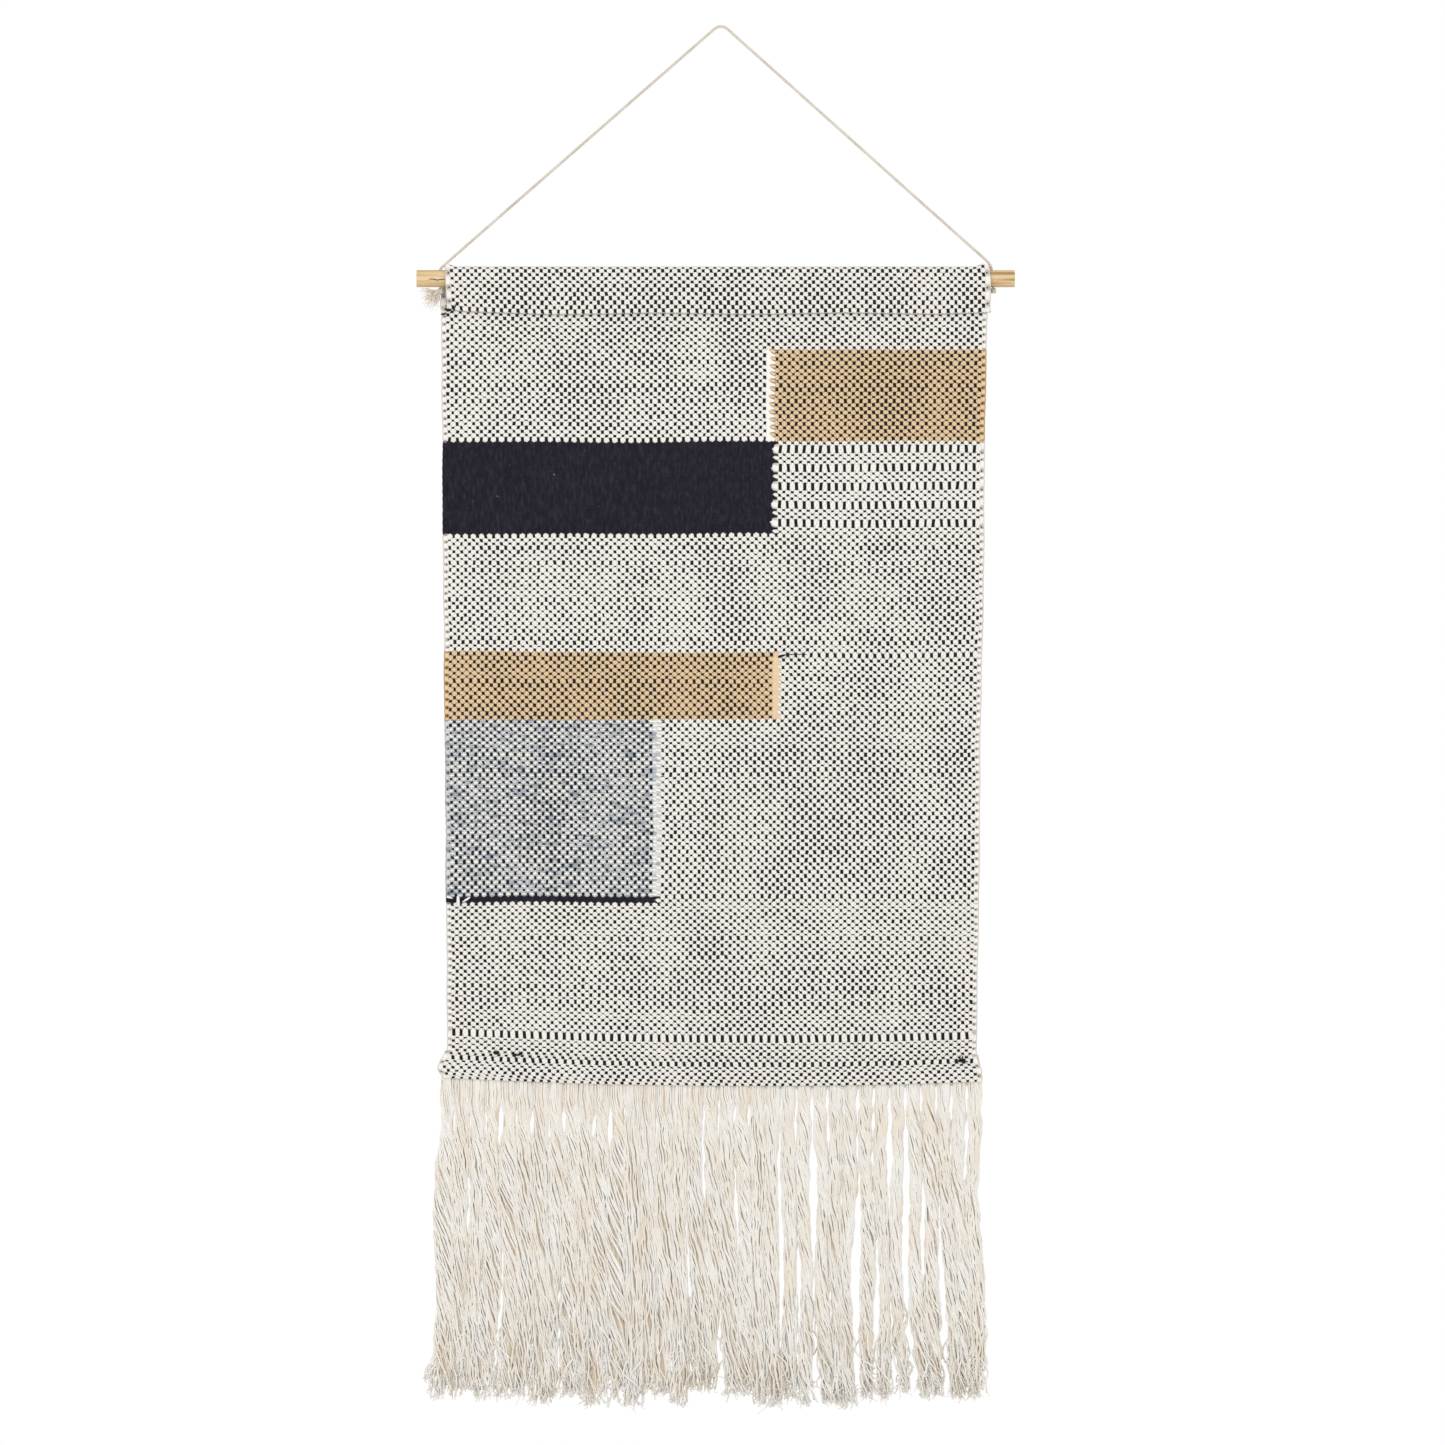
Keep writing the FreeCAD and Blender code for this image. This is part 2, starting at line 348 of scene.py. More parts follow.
def calculate(nodes, links, operation, *values):
    node = nodes.new("ShaderNodeMath")
    node.operation = operation
    feed(links, node.inputs, values)
    return node.outputs["Value"]


def bump(nodes, links, height, shader, strength, distance):
    node = nodes.new("ShaderNodeBump")
    node.inputs["Strength"].default_value = strength
    node.inputs["Distance"].default_value = distance
    links.new(height, node.inputs["Height"])
    links.new(node.outputs["Normal"], shader.inputs["Normal"])


def remap(nodes, links, value, low, high, out_low, out_high):
    node = nodes.new("ShaderNodeMapRange")
    links.new(value, node.inputs["Value"])
    sockets = [node.inputs[key] for key in ("From Min", "From Max", "To Min", "To Max")]
    feed(links, sockets, (low, high, out_low, out_high))
    return node.outputs["Result"]


def yarn_material(name, crown, rim, contact, deep):
    """Spun cotton: a painted ring highlight round each slightly greyer crown, painted shade where yarns
    touch and in the recesses, and fibres along the yarn.
    """
    material, nodes, links, shader = new_material(name, 0.92, 0.1)
    # Painted light, read from each point's shading value: a greyer crown centre, a bright ring highlight,
    # painted shade along the contact lines and in the recesses.
    depth = ramp(nodes, [(0.0, crown), (0.2, rim), (0.34, rim), (0.5, contact), (1.0, deep)])
    links.new(attribute(nodes, "hollow"), depth.inputs["Fac"])
    uneven = 0.06
    fibres = noise(nodes, links, place(nodes), 900, (0.35, 1, 1.6), 3.0)
    shade = remap(nodes, links, fibres, 0.3, 0.7, 1 - uneven, 1.0)
    tone = remap(nodes, links, attribute(nodes, "tone"), 0, 1, 1 - uneven * 0.8, 1.0)
    colour = mix(nodes, links, 1.0, depth.outputs["Color"], shade, "MULTIPLY")
    colour = mix(nodes, links, 1.0, colour, tone, "MULTIPLY")
    links.new(colour, shader.inputs["Base Color"])
    rough = remap(nodes, links, fibres, 0.3, 0.7, 0.85, 1.0)
    links.new(rough, shader.inputs["Roughness"])
    bump(nodes, links, fibres, shader, 0.3, 0.0003)
    return material


def grey(value):
    return (value, value, value, 1.0)


def grey_material():
    """Yarn spun from blue-grey and undyed cotton, so that it changes from crown to crown."""
    material, nodes, links, shader = new_material("grey_cotton_yarn", 0.92, 0.1)
    where = place(nodes)
    streaks = noise(nodes, links, where, 270, (0.2, 0.4, 1), 2.0)
    mottle = noise(nodes, links, where, 650, (0.3, 1, 1.5), 3.0)
    dye = ramp(nodes, [
        (0.3, rgb(172, 181, 191)),
        (0.41, rgb(212, 217, 222)),
        (0.48, rgb(238, 239, 237)),
        (0.7, rgb(248, 247, 243)),
    ])
    share = streaks
    for value, amount in ((mottle, 0.45), (attribute(nodes, "tone"), 0.3)):
        share = calculate(nodes, links, "MULTIPLY_ADD", value, amount, share)
    links.new(remap(nodes, links, share, 0.375, 1.375, 0, 1), dye.inputs["Fac"])
    # Painted light: a bright ring highlight round each crown, and painted shade at its edges and in the
    # recesses.
    depth = ramp(nodes, [(0.0, grey(0.93)), (0.22, grey(1.0)), (0.42, grey(0.55)), (1.0, grey(0.2))])
    links.new(attribute(nodes, "hollow"), depth.inputs["Fac"])
    colour = mix(nodes, links, 1.0, dye.outputs["Color"], depth.outputs["Color"], "MULTIPLY")
    links.new(colour, shader.inputs["Base Color"])
    bump(nodes, links, mottle, shader, 0.4, 0.0003)
    return material


def navy_material():
    """Dark dyed yarn in faint ribs, with pale lint caught in it."""
    material, nodes, links, shader = new_material("navy_cotton_yarn", 0.9, 0.05)
    where = place(nodes)
    mottle = noise(nodes, links, where, 330, (1.2, 1, 0.4), 4.0)
    dye = ramp(nodes, [(0.3, rgb(19, 18, 28)), (0.5, rgb(30, 26, 38)), (0.72, rgb(47, 43, 56))])
    links.new(mottle, dye.inputs["Fac"])
    # Painted shade: darker towards the recesses between the yarns.
    depth = ramp(nodes, [(0.0, grey(1.0)), (0.4, grey(0.85)), (1.0, grey(0.35))])
    links.new(attribute(nodes, "hollow"), depth.inputs["Fac"])
    colour = mix(nodes, links, 1.0, dye.outputs["Color"], depth.outputs["Color"], "MULTIPLY")
    lint = noise(nodes, links, where, 260, (1, 1, 1.7), 1.0)
    specks = remap(nodes, links, lint, 0.79, 0.82, 0, 0.5)
    colour = mix(nodes, links, specks, colour, rgb(176, 172, 170))
    links.new(colour, shader.inputs["Base Color"])
    bump(nodes, links, mottle, shader, 0.5, 0.0003)
    return material


def warp_material():
    """The black warp yarn, with a faint brown bloom on its fibres."""
    material, nodes, links, shader = new_material("black_cotton_yarn", 0.8, 0.1)
    fibres = noise(nodes, links, place(nodes), 1100, (1, 1, 0.4), 2.0)
    dye = ramp(nodes, [(0.35, rgb(9, 9, 12)), (0.7, rgb(27, 24, 27))])
    links.new(fibres, dye.inputs["Fac"])
    links.new(dye.outputs["Color"], shader.inputs["Base Color"])
    links.new(remap(nodes, links, fibres, 0.3, 0.7, 0.7, 0.95), shader.inputs["Roughness"])
    bump(nodes, links, fibres, shader, 0.4, 0.0002)
    return material


def strand_material(name, pale, dark, uneven, stretch=0.35):
    """Loose plied yarn: slow changes along it and short fibres across it."""
    material, nodes, links, shader = new_material(name, 0.95, 0.2)
    where = place(nodes)
    slow = noise(nodes, links, where, 60, (1, 1, 0.35), 3.0)
    fine = noise(nodes, links, where, 1000, (1, 1, stretch), 2.0)
    base = ramp(nodes, [(0.3, dark), (0.62, pale)])
    links.new(slow, base.inputs["Fac"])
    shade = remap(nodes, links, fine, 0.3, 0.7, 1 - uneven, 1.0)
    colour = mix(nodes, links, 1.0, base.outputs["Color"], shade, "MULTIPLY")
    tone = remap(nodes, links, attribute(nodes, "tone"), 0, 1, 1 - uneven * 0.7, 1.0)
    colour = mix(nodes, links, 1.0, colour, tone, "MULTIPLY")
    links.new(colour, shader.inputs["Base Color"])
    links.new(remap(nodes, links, fine, 0.3, 0.7, 0.85, 1.0), shader.inputs["Roughness"])
    bump(nodes, links, fine, shader, 0.5, 0.0003)
    return material


def drying_split(nodes, links, where):
    """1 in the thin crack along the dowel's front near the left hole, 0 elsewhere (in metres)."""
    separate = nodes.new("ShaderNodeSeparateXYZ")
    links.new(where, separate.inputs["Vector"])
    x, y, z = separate.outputs
    wander = noise(nodes, links, where, 160, (1, 0.2, 0.2), 3.0)
    level = calculate(nodes, links, "MULTIPLY_ADD", wander, 0.004, z)
    split = calculate(nodes, links, "COMPARE", level, -0.2330, 0.00045)
    for value, outside, inside in ((x, -0.274, -0.271), (y, -0.004, -0.005), (x, -0.240, -0.245)):
        limit = remap(nodes, links, value, outside, inside, 0, 1)
        split = calculate(nodes, links, "MULTIPLY", split, limit)
    return split


def wood_material():
    """Bare pine: long grain in broad bands, and a drying split at the left hole."""
    material, nodes, links, shader = new_material("pine_grain", 0.6)
    where = place(nodes)
    grain = noise(nodes, links, where, 420, (0.035, 1, 1), 5.0)
    broad = noise(nodes, links, where, 95, (0.06, 1, 1), 2.0)
    base = ramp(nodes, [
        (0.36, rgb(172, 134, 88)),
        (0.47, rgb(208, 178, 131)),
        (0.6, rgb(226, 200, 156)),
        (0.75, rgb(236, 214, 174)),
    ])
    links.new(grain, base.inputs["Fac"])
    band = remap(nodes, links, broad, 0.35, 0.65, 0.86, 1.0)
    colour = mix(nodes, links, 1.0, base.outputs["Color"], band, "MULTIPLY")
    colour = mix(nodes, links, drying_split(nodes, links, where), colour, rgb(58, 34, 16))
    links.new(colour, shader.inputs["Base Color"])
    links.new(remap(nodes, links, grain, 0.3, 0.7, 0.5, 0.72), shader.inputs["Roughness"])
    bump(nodes, links, grain, shader, 0.25, 0.0004)
    return material


# The woven cloth
#
# An area is a grid of cells, one for each crossing of a warp end and a weft pick. Each cell has
# nine points: a pillow where the weft passes over, or a smaller, deeper patch where the black
# warp passes over. The rows of an area run down it, and `level` is a row's place along the cloth.


def plain_rows(top, bottom, count, tall_row=None):
    """Row edges of plain weave: every other pick is beaten down thicker."""
    source = random.Random(int(-top))
    weights = []
    thick = source.random() < 0.5
    for number in range(count):
        weight = 1 + (0.06 if thick else -0.06) + source.uniform(-0.12, 0.12)
        weights.append(weight * 1.4 if number == tall_row else weight)
        if source.random() < 0.75:
            thick = not thick
    return rows_from(top, bottom, weights, [PLAIN] * count)


def rows_from(top, bottom, weights, kinds):
    total = sum(weights)
    rows = []
    level = top
    for weight, kind in zip(weights, kinds):
        below = level - (top - bottom) * weight / total
        rows.append((level, below, kind))
        level = below
    return rows


def dashed_rows(top, bottom, pattern, float_height, plain_height):
    """Rows from a word of f and p: f floats the warp over a thick pick, p is a plain pick."""
    kinds = [FLOAT if letter == "f" else PLAIN for letter in pattern]
    weights = [float_height if kind == FLOAT else plain_height for kind in kinds]
    return rows_from(top, bottom, weights, kinds)


def panel_edges(level):
    """Left and right edges of the cloth below the pocket, with slight unevenness."""
    share = (level - POCKET_SEAM_Z) / (HEM_TOP - POCKET_SEAM_Z)
    left = blend(-261.3, -255.6, share) + 0.5 * ripple(level, 0, 90, 3)
    right = blend(248.3, 239.0, share) + 0.5 * ripple(level, 0, 90, 4)
    return left, right


def pocket_edges(level):
    """The sleeve's ends: level with its crown at the top, a little wider on the layer behind."""
    along = -level
    left = np.interp(along, (0, 18, 32, 58, 90), (-262.3, -261.8, -257.8, -257.6, -256.2))
    right = np.interp(along, (0, 30, 42, 54, 64, 90), (249.0, 250.0, 250.3, 250.6, 252.0, 251.6))
    return left, right


def hem_edges(level):
    """The hem's folded corners stand out past the cloth."""
    along = -level
    places = (0, 4, 9, 14, 18, 22, 26, 30, 36, 50)
    left = np.interp(along, places, (-257, -259.5, -262.5, -264.5, -264.7, -262, -257.5, -259, -263, -258))
    right = np.interp(along, (0, 6, 14, 22, 30, 50), (238.6, 240.6, 243.6, 244.2, 243.5, 240.5))
    return left, right


def warp_x(end, level, edges):
    left, right = edges(level)
    share = (end + 0.5) / WARP_ENDS
    wander = 0.35 * ripple(end * 3.8, level, 70, 12)
    return blend(left + EDGE_MARGIN, right - EDGE_MARGIN, share) + wander


def nearest_end(x, level):
    ends = np.arange(WARP_ENDS)
    return int(np.argmin(np.abs(warp_x(ends, np.full(WARP_ENDS, level), panel_edges) - x)))


def density(x, z):
    """How much more than usual the warp shows, from about -1 to 1.5."""
    total = 0.45 * ripple(x * 2.2, z, 130, 21) + 0.25 * ripple(x, z * 3, 60, 22)
    for centre_x, centre_z, half_width, half_height, strength in DENSE_PLACES:
        away = ((x - centre_x) / half_width) ** 2 + ((z - centre_z) / half_height) ** 2
        total = total + strength * np.exp(-away)
    return total


def path_along(points):
    """A function from a level (minus the distance along the points) to (y, z) and the outward side."""
    points = np.array(points, float)
    steps = np.hypot(*np.diff(points, axis=0).T)
    along = np.concatenate([[0], np.cumsum(steps)])
    headings = np.gradient(points, along, axis=0)
    headings /= np.linalg.norm(headings, axis=1, keepdims=True)

    def at(level):
        place_along = -level
        beyond = place_along - np.clip(place_along, 0, along[-1])
        y, z, heading_y, heading_z = (
            np.interp(place_along, along, column)
            for column in (points[:, 0], points[:, 1], headings[:, 0], headings[:, 1])
        )
        return y + beyond * heading_y, z + beyond * heading_z, heading_z, -heading_y

    return at, along[-1]


def flat_path(level):
    return 0 * level, level, 0 * level - 1, 0 * level


def tangent_angle(radius, y, z, side):
    """The angle round the dowel at which a line from (y, z) touches a circle."""
    height = z - DOWEL_Z
    return math.atan2(height, y) + side * math.acos(radius / math.hypot(y, height))


def pocket_points():
    """The middle of the sleeve's cloth, from the back seam over the dowel to the flap's foot."""
    radius = DOWEL_RADIUS + 0.4 + CLOTH / 2
    back_foot = (0, POCKET_SEAM_Z)
    flap_foot = (-CLOTH, POCKET_SEAM_Z)
    start = tangent_angle(radius, *back_foot, 1)
    stop = tangent_angle(radius, *flap_foot, -1) + math.tau
    points = [back_foot]
    for angle in np.linspace(start, stop, 25):
        points.append((radius * math.cos(angle), DOWEL_Z + radius * math.sin(angle)))
    points.append(flap_foot)
    return points


def hem_points():
    """The middle of the hem's cloth, down the front, round the fold and up the back."""
    radius = CLOTH / 2
    fold_z = HEM_BOTTOM + CLOTH
    points = [(0, HEM_TOP)]
    for angle in np.linspace(math.pi, math.tau, 9):
        points.append((radius + radius * math.cos(angle), fold_z + radius * math.sin(angle)))
    points.append((2 * radius, HEM_TOP))
    return points


def sag(x, z):
    """How far a point of the cloth hangs above its level line: neither seam is quite straight."""
    seam_places = (-258, -240, -190, -150, -60, 30, 120, 200, 250)
    seam = np.interp(x, seam_places, (2.4, 0.4, -1.6, -2.6, -1.2, -2.4, -1.0, -2.2, -0.6))
    at_seam = seam * smooth_step(-240, -262, z) * smooth_step(-300, -268, z)
    foot_places = (-262, -200, -120, -20, 60, 160, 242)
    at_foot = np.interp(x, foot_places, (4.4, 1.6, -1.4, -3.0, -3.4, -2.0, 0.6))
    waves = 0.8 * ripple(x, z * 1.6, 170, 31) * smooth_step(-266, -300, z)
    return at_seam + waves + (at_foot - waves) * smooth_step(-840, -962, z)


def billow(x, z):
    """Gentle forward and backward waves of the hanging cloth, none at the pocket or the hem."""
    free = smooth_step(-270, -380, z) * smooth_step(-955, -860, z)
    return 1.3 * free * ripple(x, z * 0.7, 260, 41)


def stitched_dent(x, z):
    """The hem's line of stitches pulls the front in."""
    line = HEM_TOP - 1.5 - 0.5 * sag(x, z) + 1.2 * ripple(x, 0, 80, 51)
    return -0.55 * np.exp(-(((z - line) / 1.3) ** 2))


def stitched_hem(x, level):
    return stitched_dent(x, HEM_TOP + level)


def puffed_corners(x, level):
    """The sleeve stands off the dowel at its crown, most of all in the loops at its two ends."""
    crown = 0.7 * np.exp(-(((level + 48) / 8) ** 2))
    left = 2.4 * np.exp(-(((x + 255) / 4.5) ** 2) - ((level + 46) / 6) ** 2)
    right = 2.8 * np.exp(-(((x - 244.5) / 4.0) ** 2) - ((level + 48) / 6) ** 2)
    return crown + left + right


def no_shift(x, level):
    return 0 * x


class Area:
    """A woven area: which warp ends and rows it has, and what its edges do."""

    def __init__(self, name, yarn, rows, first=0, last=WARP_ENDS, rows_above=0):
        self.name = name
        self.yarn = yarn
        self.top = np.array([row[0] for row in rows])
        self.bottom = np.array([row[1] for row in rows])
        self.kind = np.array([row[2] for row in rows])
        self.ends = np.arange(first, last)
        self.numbers = rows_above + np.arange(len(rows))
        self.selvage_left = first == 0
        self.selvage_right = last == WARP_ENDS
        self.seed = sum(ord(letter) for letter in name)
        self.edges = panel_edges
        self.path = flat_path
        self.out_shift = no_shift
        self.crown_half_width = CROWN_HALF_WIDTH
        self.crown_share = CROWN_SHARE_OF_ROW
        self.crown_rounding = 0.2
        self.ribbed = False
        self.tongue_reach = 7.6
        self.picks_per_loop = 2
        self.sewn_foot = False

    def rows_below(self):
        return int(self.numbers[-1]) + 1


# The nine points of a cell, across it and down it.
ACROSS = np.array([-1.0, 0.0, 1.0])[None, None, None, :]
DOWN = np.array([-1.0, 0.0, 1.0])[None, :, None, None]


def spread(grid):
    """A value for each crossing, ready to be combined with the nine points of its cell."""
    return grid[:, None, :, None]


def warp_crossings(area, side):
    """Whether the warp is on top at each crossing: at every other one, and never at a side."""
    warp_over = (area.numbers[:, None] + area.ends[None, :] + side) % 2 == 0
    if area.selvage_left:
        warp_over[:, 0] = False
    warp_over[:, -1 if area.selvage_right else -2:] = False
    return warp_over


def cell_sizes(area, height, dense, warp_over, source):
    """Half the width and half the height of each crossing's crown or patch of warp."""
    floats = (area.kind == FLOAT)[:, None]
    thickness = np.clip(height / USUAL_ROW_HEIGHT, 0.6, 1.5)
    width = WARP_HALF_WIDTH * (1 + 0.14 * dense + source.normal(0, 0.08, dense.shape))
    warp_width = np.clip(np.where(floats, 1.1 * width, width), 0.8, 1.6)
    share = (WARP_SHARE_OF_ROW + 0.14 * dense + source.normal(0, 0.11, dense.shape)) * thickness**1.3
    warp_share = np.where(floats, 0.98, np.clip(share, 0.25, 1.1))
    crown_share = np.where(floats, 0.8, area.crown_share)
    half_width = np.where(warp_over, warp_width, area.crown_half_width)
    half_height = np.where(warp_over, warp_share, crown_share) * height / 2
    return half_width, half_height


def cell_relief(area, warp_over, source):
    """How deep each point lies below the crowns, and how much painted shade or highlight it gets."""
    u = np.abs(ACROSS)
    v = np.abs(DOWN)
    weft_depth = 0.14 * u + 0.20 * v + 0.12 * u * v
    warp_depth = 0.56 + 0.12 * u + 0.10 * v
    depth = np.where(spread(warp_over), warp_depth, weft_depth)
    depth = depth + spread(source.normal(0, 0.04, warp_over.shape))
    # Painted light for each point: a greyer crown centre, a bright ring, and painted shade at the corners
    # where yarns touch. The ribbed grey block is painted darker along its top and bottom edges.
    weft_hollow = 0.22 * np.maximum(u, v) + 0.22 * u * v
    if area.ribbed:
        weft_hollow = 0.12 * u + 0.34 * v
    hollow = np.where(spread(warp_over), 0.3 + 0.16 * u * v, weft_hollow)
    # Light painted shade on the columns that run on under the next area's tongues.
    if not area.selvage_right:
        depth[:, :, -2:] = 0.14 + 0.2 * v
        hollow[:, :, -2:] = 0.2 + 0.14 * v
    return depth, hollow


def cells(area, side):
    """The nine points of each cell, as grids with three lines per row and three per end."""
    source = np.random.default_rng(area.seed + side)
    warp_over = warp_crossings(area, side)
    height = (area.top - area.bottom)[:, None]
    level_line = ((area.top + area.bottom) / 2)[:, None] + 0 * area.ends
    centre_x = warp_x(area.ends[None, :], level_line, area.edges) + source.normal(0, 0.12, warp_over.shape)
    middle = level_line + source.normal(0, 0.1, warp_over.shape)
    dense = density(centre_x, area.path(middle)[1])
    half_width, half_height = cell_sizes(area, height, dense, warp_over, source)
    rounding = np.where(spread(warp_over), 0.4 * area.crown_rounding, area.crown_rounding)
    corner = 1 - rounding * np.abs(ACROSS) * np.abs(DOWN)
    lean = spread(source.normal(0.05, 0.2, warp_over.shape))
    tilt = spread(source.normal(-0.03, 0.13, warp_over.shape))
    x = spread(centre_x) + ACROSS * corner * spread(half_width) + DOWN * lean
    level = spread(middle) - DOWN * corner * spread(half_height) + ACROSS * tilt
    depth, hollow = cell_relief(area, warp_over, source)
    tone = spread(source.uniform(0, 1, warp_over.shape)) + 0 * depth
    rows, ends = warp_over.shape
    grids = [grid.reshape(rows * 3, ends * 3) for grid in (x, level, depth, hollow, tone)]
    return grids, warp_over


def loop_bulge(area, lines):
    """0 between two of the edge's loops and 1 at the middle of each."""
    in_loop = 3 * area.picks_per_loop
    return np.sin((np.arange(lines) % in_loop + 0.5) / in_loop * math.pi)


def selvage_lines(area, grids, left):
    """The rounded outer edge of the cloth's own side, where the picks turn back in loops."""
    level = grids[1][:, 0 if left else -1]
    outward = -1 if left else 1
    edge = area.edges(level)[0 if left else 1]
    bulge = loop_bulge(area, len(edge))
    # The last value of the knuckle and the tip is painted shade: the rounded edge is painted greyer.
    knuckle = (edge - outward * (0.7 - 0.2 * bulge), level, 0.55 - 0.2 * bulge, 0.42 + 0 * bulge)
    tip = (edge + outward * (0.35 * bulge - 0.1), level, 1.25 - 0.1 * bulge, 0.5 + 0 * bulge)
    return tip, knuckle


def plump_selvage(area, grids, columns):
    """Join the picks of each edge loop into one plump turn, and part it from the next."""
    depth, hollow = grids[2], grids[3]
    gap = (1 - loop_bulge(area, depth.shape[0])[:, None]) ** 2
    depth[:, columns] = 0.1 + 1.1 * gap
    # Painted shade, darkest in the gap between two loops.
    hollow[:, columns] = 0.34 + 0.5 * gap


def tongue_lines(area, grids):
    """A joined left side, where every other pick reaches over its neighbour as a tapered tongue."""
    x, level = grids[:2]
    rows = len(area.top)
    v = np.tile((-1.0, 0.0, 1.0), rows)
    middle = np.repeat((area.top + area.bottom) / 2, 3)
    height = np.repeat(area.top - area.bottom, 3)
    source = np.random.default_rng(area.seed + 77)
    if (area.kind == FLOAT).any():
        reaching = (area.kind == FLOAT) | (np.arange(rows) % 4 == 3)
    else:
        reaching = area.numbers % 2 == area.ends[0] % 2
    tongue = np.repeat(reaching, 3)
    wide = np.repeat(area.kind == FLOAT, 3)
    reach = area.tongue_reach * np.repeat(source.uniform(0.9, 1.08, rows), 3)
    reach = reach * np.where(wide, 1.15, 1.0)
    first_x = x[:, 1]
    rise = np.where(wide, 0.0, 0.3 * height)
    knuckle_x = np.where(tongue, first_x - 0.66 * reach, first_x - 2.0)
    knuckle_level = np.where(tongue, middle + 0.6 * rise - 0.54 * height * v, level[:, 0])
    knuckle_depth = np.where(tongue, 0.2 * np.abs(v) - 0.05, 0.4)
    tip_x = np.where(tongue, first_x - reach + 0.13 * reach * np.abs(v), first_x - 2.4)
    tip_level = np.where(tongue, middle + rise - 0.34 * height * v, level[:, 0])
    tip_depth = np.where(tongue, 0.45 + 0.15 * np.abs(v), 1.3)
    # The last value of the knuckle and the tip is painted shade. It is darker towards the tongue's edges
    # and tip, and under the picks that do not reach.
    knuckle = (knuckle_x, knuckle_level, knuckle_depth, np.where(tongue, 0.1 + 0.45 * np.abs(v), 0.45))
    tip = (tip_x, tip_level, tip_depth, np.where(tongue, 0.58, 0.8))
    return tip, knuckle


def tucked_lines(grids):
    """A joined right side: the cloth runs on under its neighbour's tongues."""
    x, level, depth, hollow = grids[:4]
    # The last value of each line is painted shade under the neighbour's tongues.
    knuckle = (x[:, -1] + 1.4, level[:, -1], depth[:, -1] + 0.1, 0.3 + 0 * hollow[:, -1])
    tip = (x[:, -1] + 3.2, level[:, -1], 0 * depth[:, -1] + 0.9, 0.6 + 0 * hollow[:, -1])
    return knuckle, tip


def attach_sides(area, grids):
    """The grids with two more lines on each side."""
    if area.selvage_left:
        plump_selvage(area, grids, slice(0, 3))
        left = selvage_lines(area, grids, True)
    else:
        left = tongue_lines(area, grids)
        grids[2][:, 0] = np.minimum(grids[2][:, 0], 0.28)
    if area.selvage_right:
        plump_selvage(area, grids, slice(-3, None))
        right = reversed(selvage_lines(area, grids, False))
    else:
        grids[2][:, -6:] += 0.1
        right = tucked_lines(grids)
    left = [[column[:, None] for column in line] for line in left]
    right = [[column[:, None] for column in line] for line in right]
    wider = [
        np.concatenate([left[0][k], left[1][k], grids[k], right[0][k], right[1][k]], axis=1)
        for k in range(4)
    ]
    wider.append(np.pad(grids[4], ((0, 0), (2, 2)), "edge"))
    return wider


def attach_ends(area, grids, warp_over):
    """The grids with a line more at each end: the weft's crowns lap over the next area's rows."""
    x, level, depth, hollow, tone = (np.pad(grid, ((1, 1), (0, 0)), "edge") for grid in grids)
    rounded = np.pad(np.tile((0.35, 1.0, 0.35), warp_over.shape[1]), (2, 2), "edge")
    for line, limit, upward in ((0, area.top[0], 1), (-1, area.bottom[-1], -1)):
        over = np.pad(np.repeat(warp_over[line], 3), (2, 2), "edge")
        level[line] = limit + upward * np.where(over, 0.4, 0.95 * rounded)
        depth[line] = np.where(over, 1.3, 0.62)
        # Painted shade along the line where the crowns lap over the next area.
        hollow[line] = np.where(over, 0.55, 0.42)
    if area.sewn_foot:
        level[-1] = area.bottom[-1] - 0.2
        depth[-1] = 1.35
        # Painted shade in the sewn seam at the flap's foot.
        hollow[-1] = 0.85
    return x, level, depth, hollow, tone


def one_side(area, side):
    """One side of an area: its point grids and which of its faces are warp."""
    grids, warp_over = cells(area, side)
    grids = attach_sides(area, grids)
    grids = attach_ends(area, grids, warp_over)
    rows, ends = warp_over.shape
    is_warp = np.zeros((rows * 3 + 1, ends * 3 + 3), bool)
    for row_step in (1, 2):
        for end_step in (2, 3):
            is_warp[row_step:rows * 3:3, end_step:ends * 3 + 1:3] = warp_over
    loop_gaps = np.arange(3 * area.picks_per_loop, rows * 3, 3 * area.picks_per_loop)
    if area.selvage_left:
        is_warp[loop_gaps, 3] = True
    if area.selvage_right:
        is_warp[loop_gaps, -4] = True
    return grids, is_warp


def to_space(area, x, level, out):
    """Points of an area from x, level and distance out from the middle of the cloth."""
    middle_y, middle_z, out_y, out_z = area.path(level)
    flat_z = middle_z + out_z * out
    y = middle_y + out_y * out + billow(x, flat_z)
    return np.stack([x, y, flat_z + sag(x, flat_z)], axis=-1).reshape(-1, 3)


def grid_faces(rows, columns, start, flipped):
    index = np.arange(rows * columns).reshape(rows, columns) + start
    corners = [index[:-1, :-1], index[1:, :-1], index[1:, 1:], index[:-1, 1:]]
    if flipped:
        corners.reverse()
    return np.stack(corners, axis=-1).reshape(-1, 4)


def rim_faces(rows, columns, start):
    """The walls that close the edge between the outer and the inner grid."""
    index = np.arange(rows * columns).reshape(rows, columns)
    rim = np.concatenate([index[0, :-1], index[:-1, -1], index[-1, :0:-1], index[:0:-1, 0]])
    after = np.roll(rim, -1)
    return np.stack([rim, after, after + start, rim + start], axis=-1)


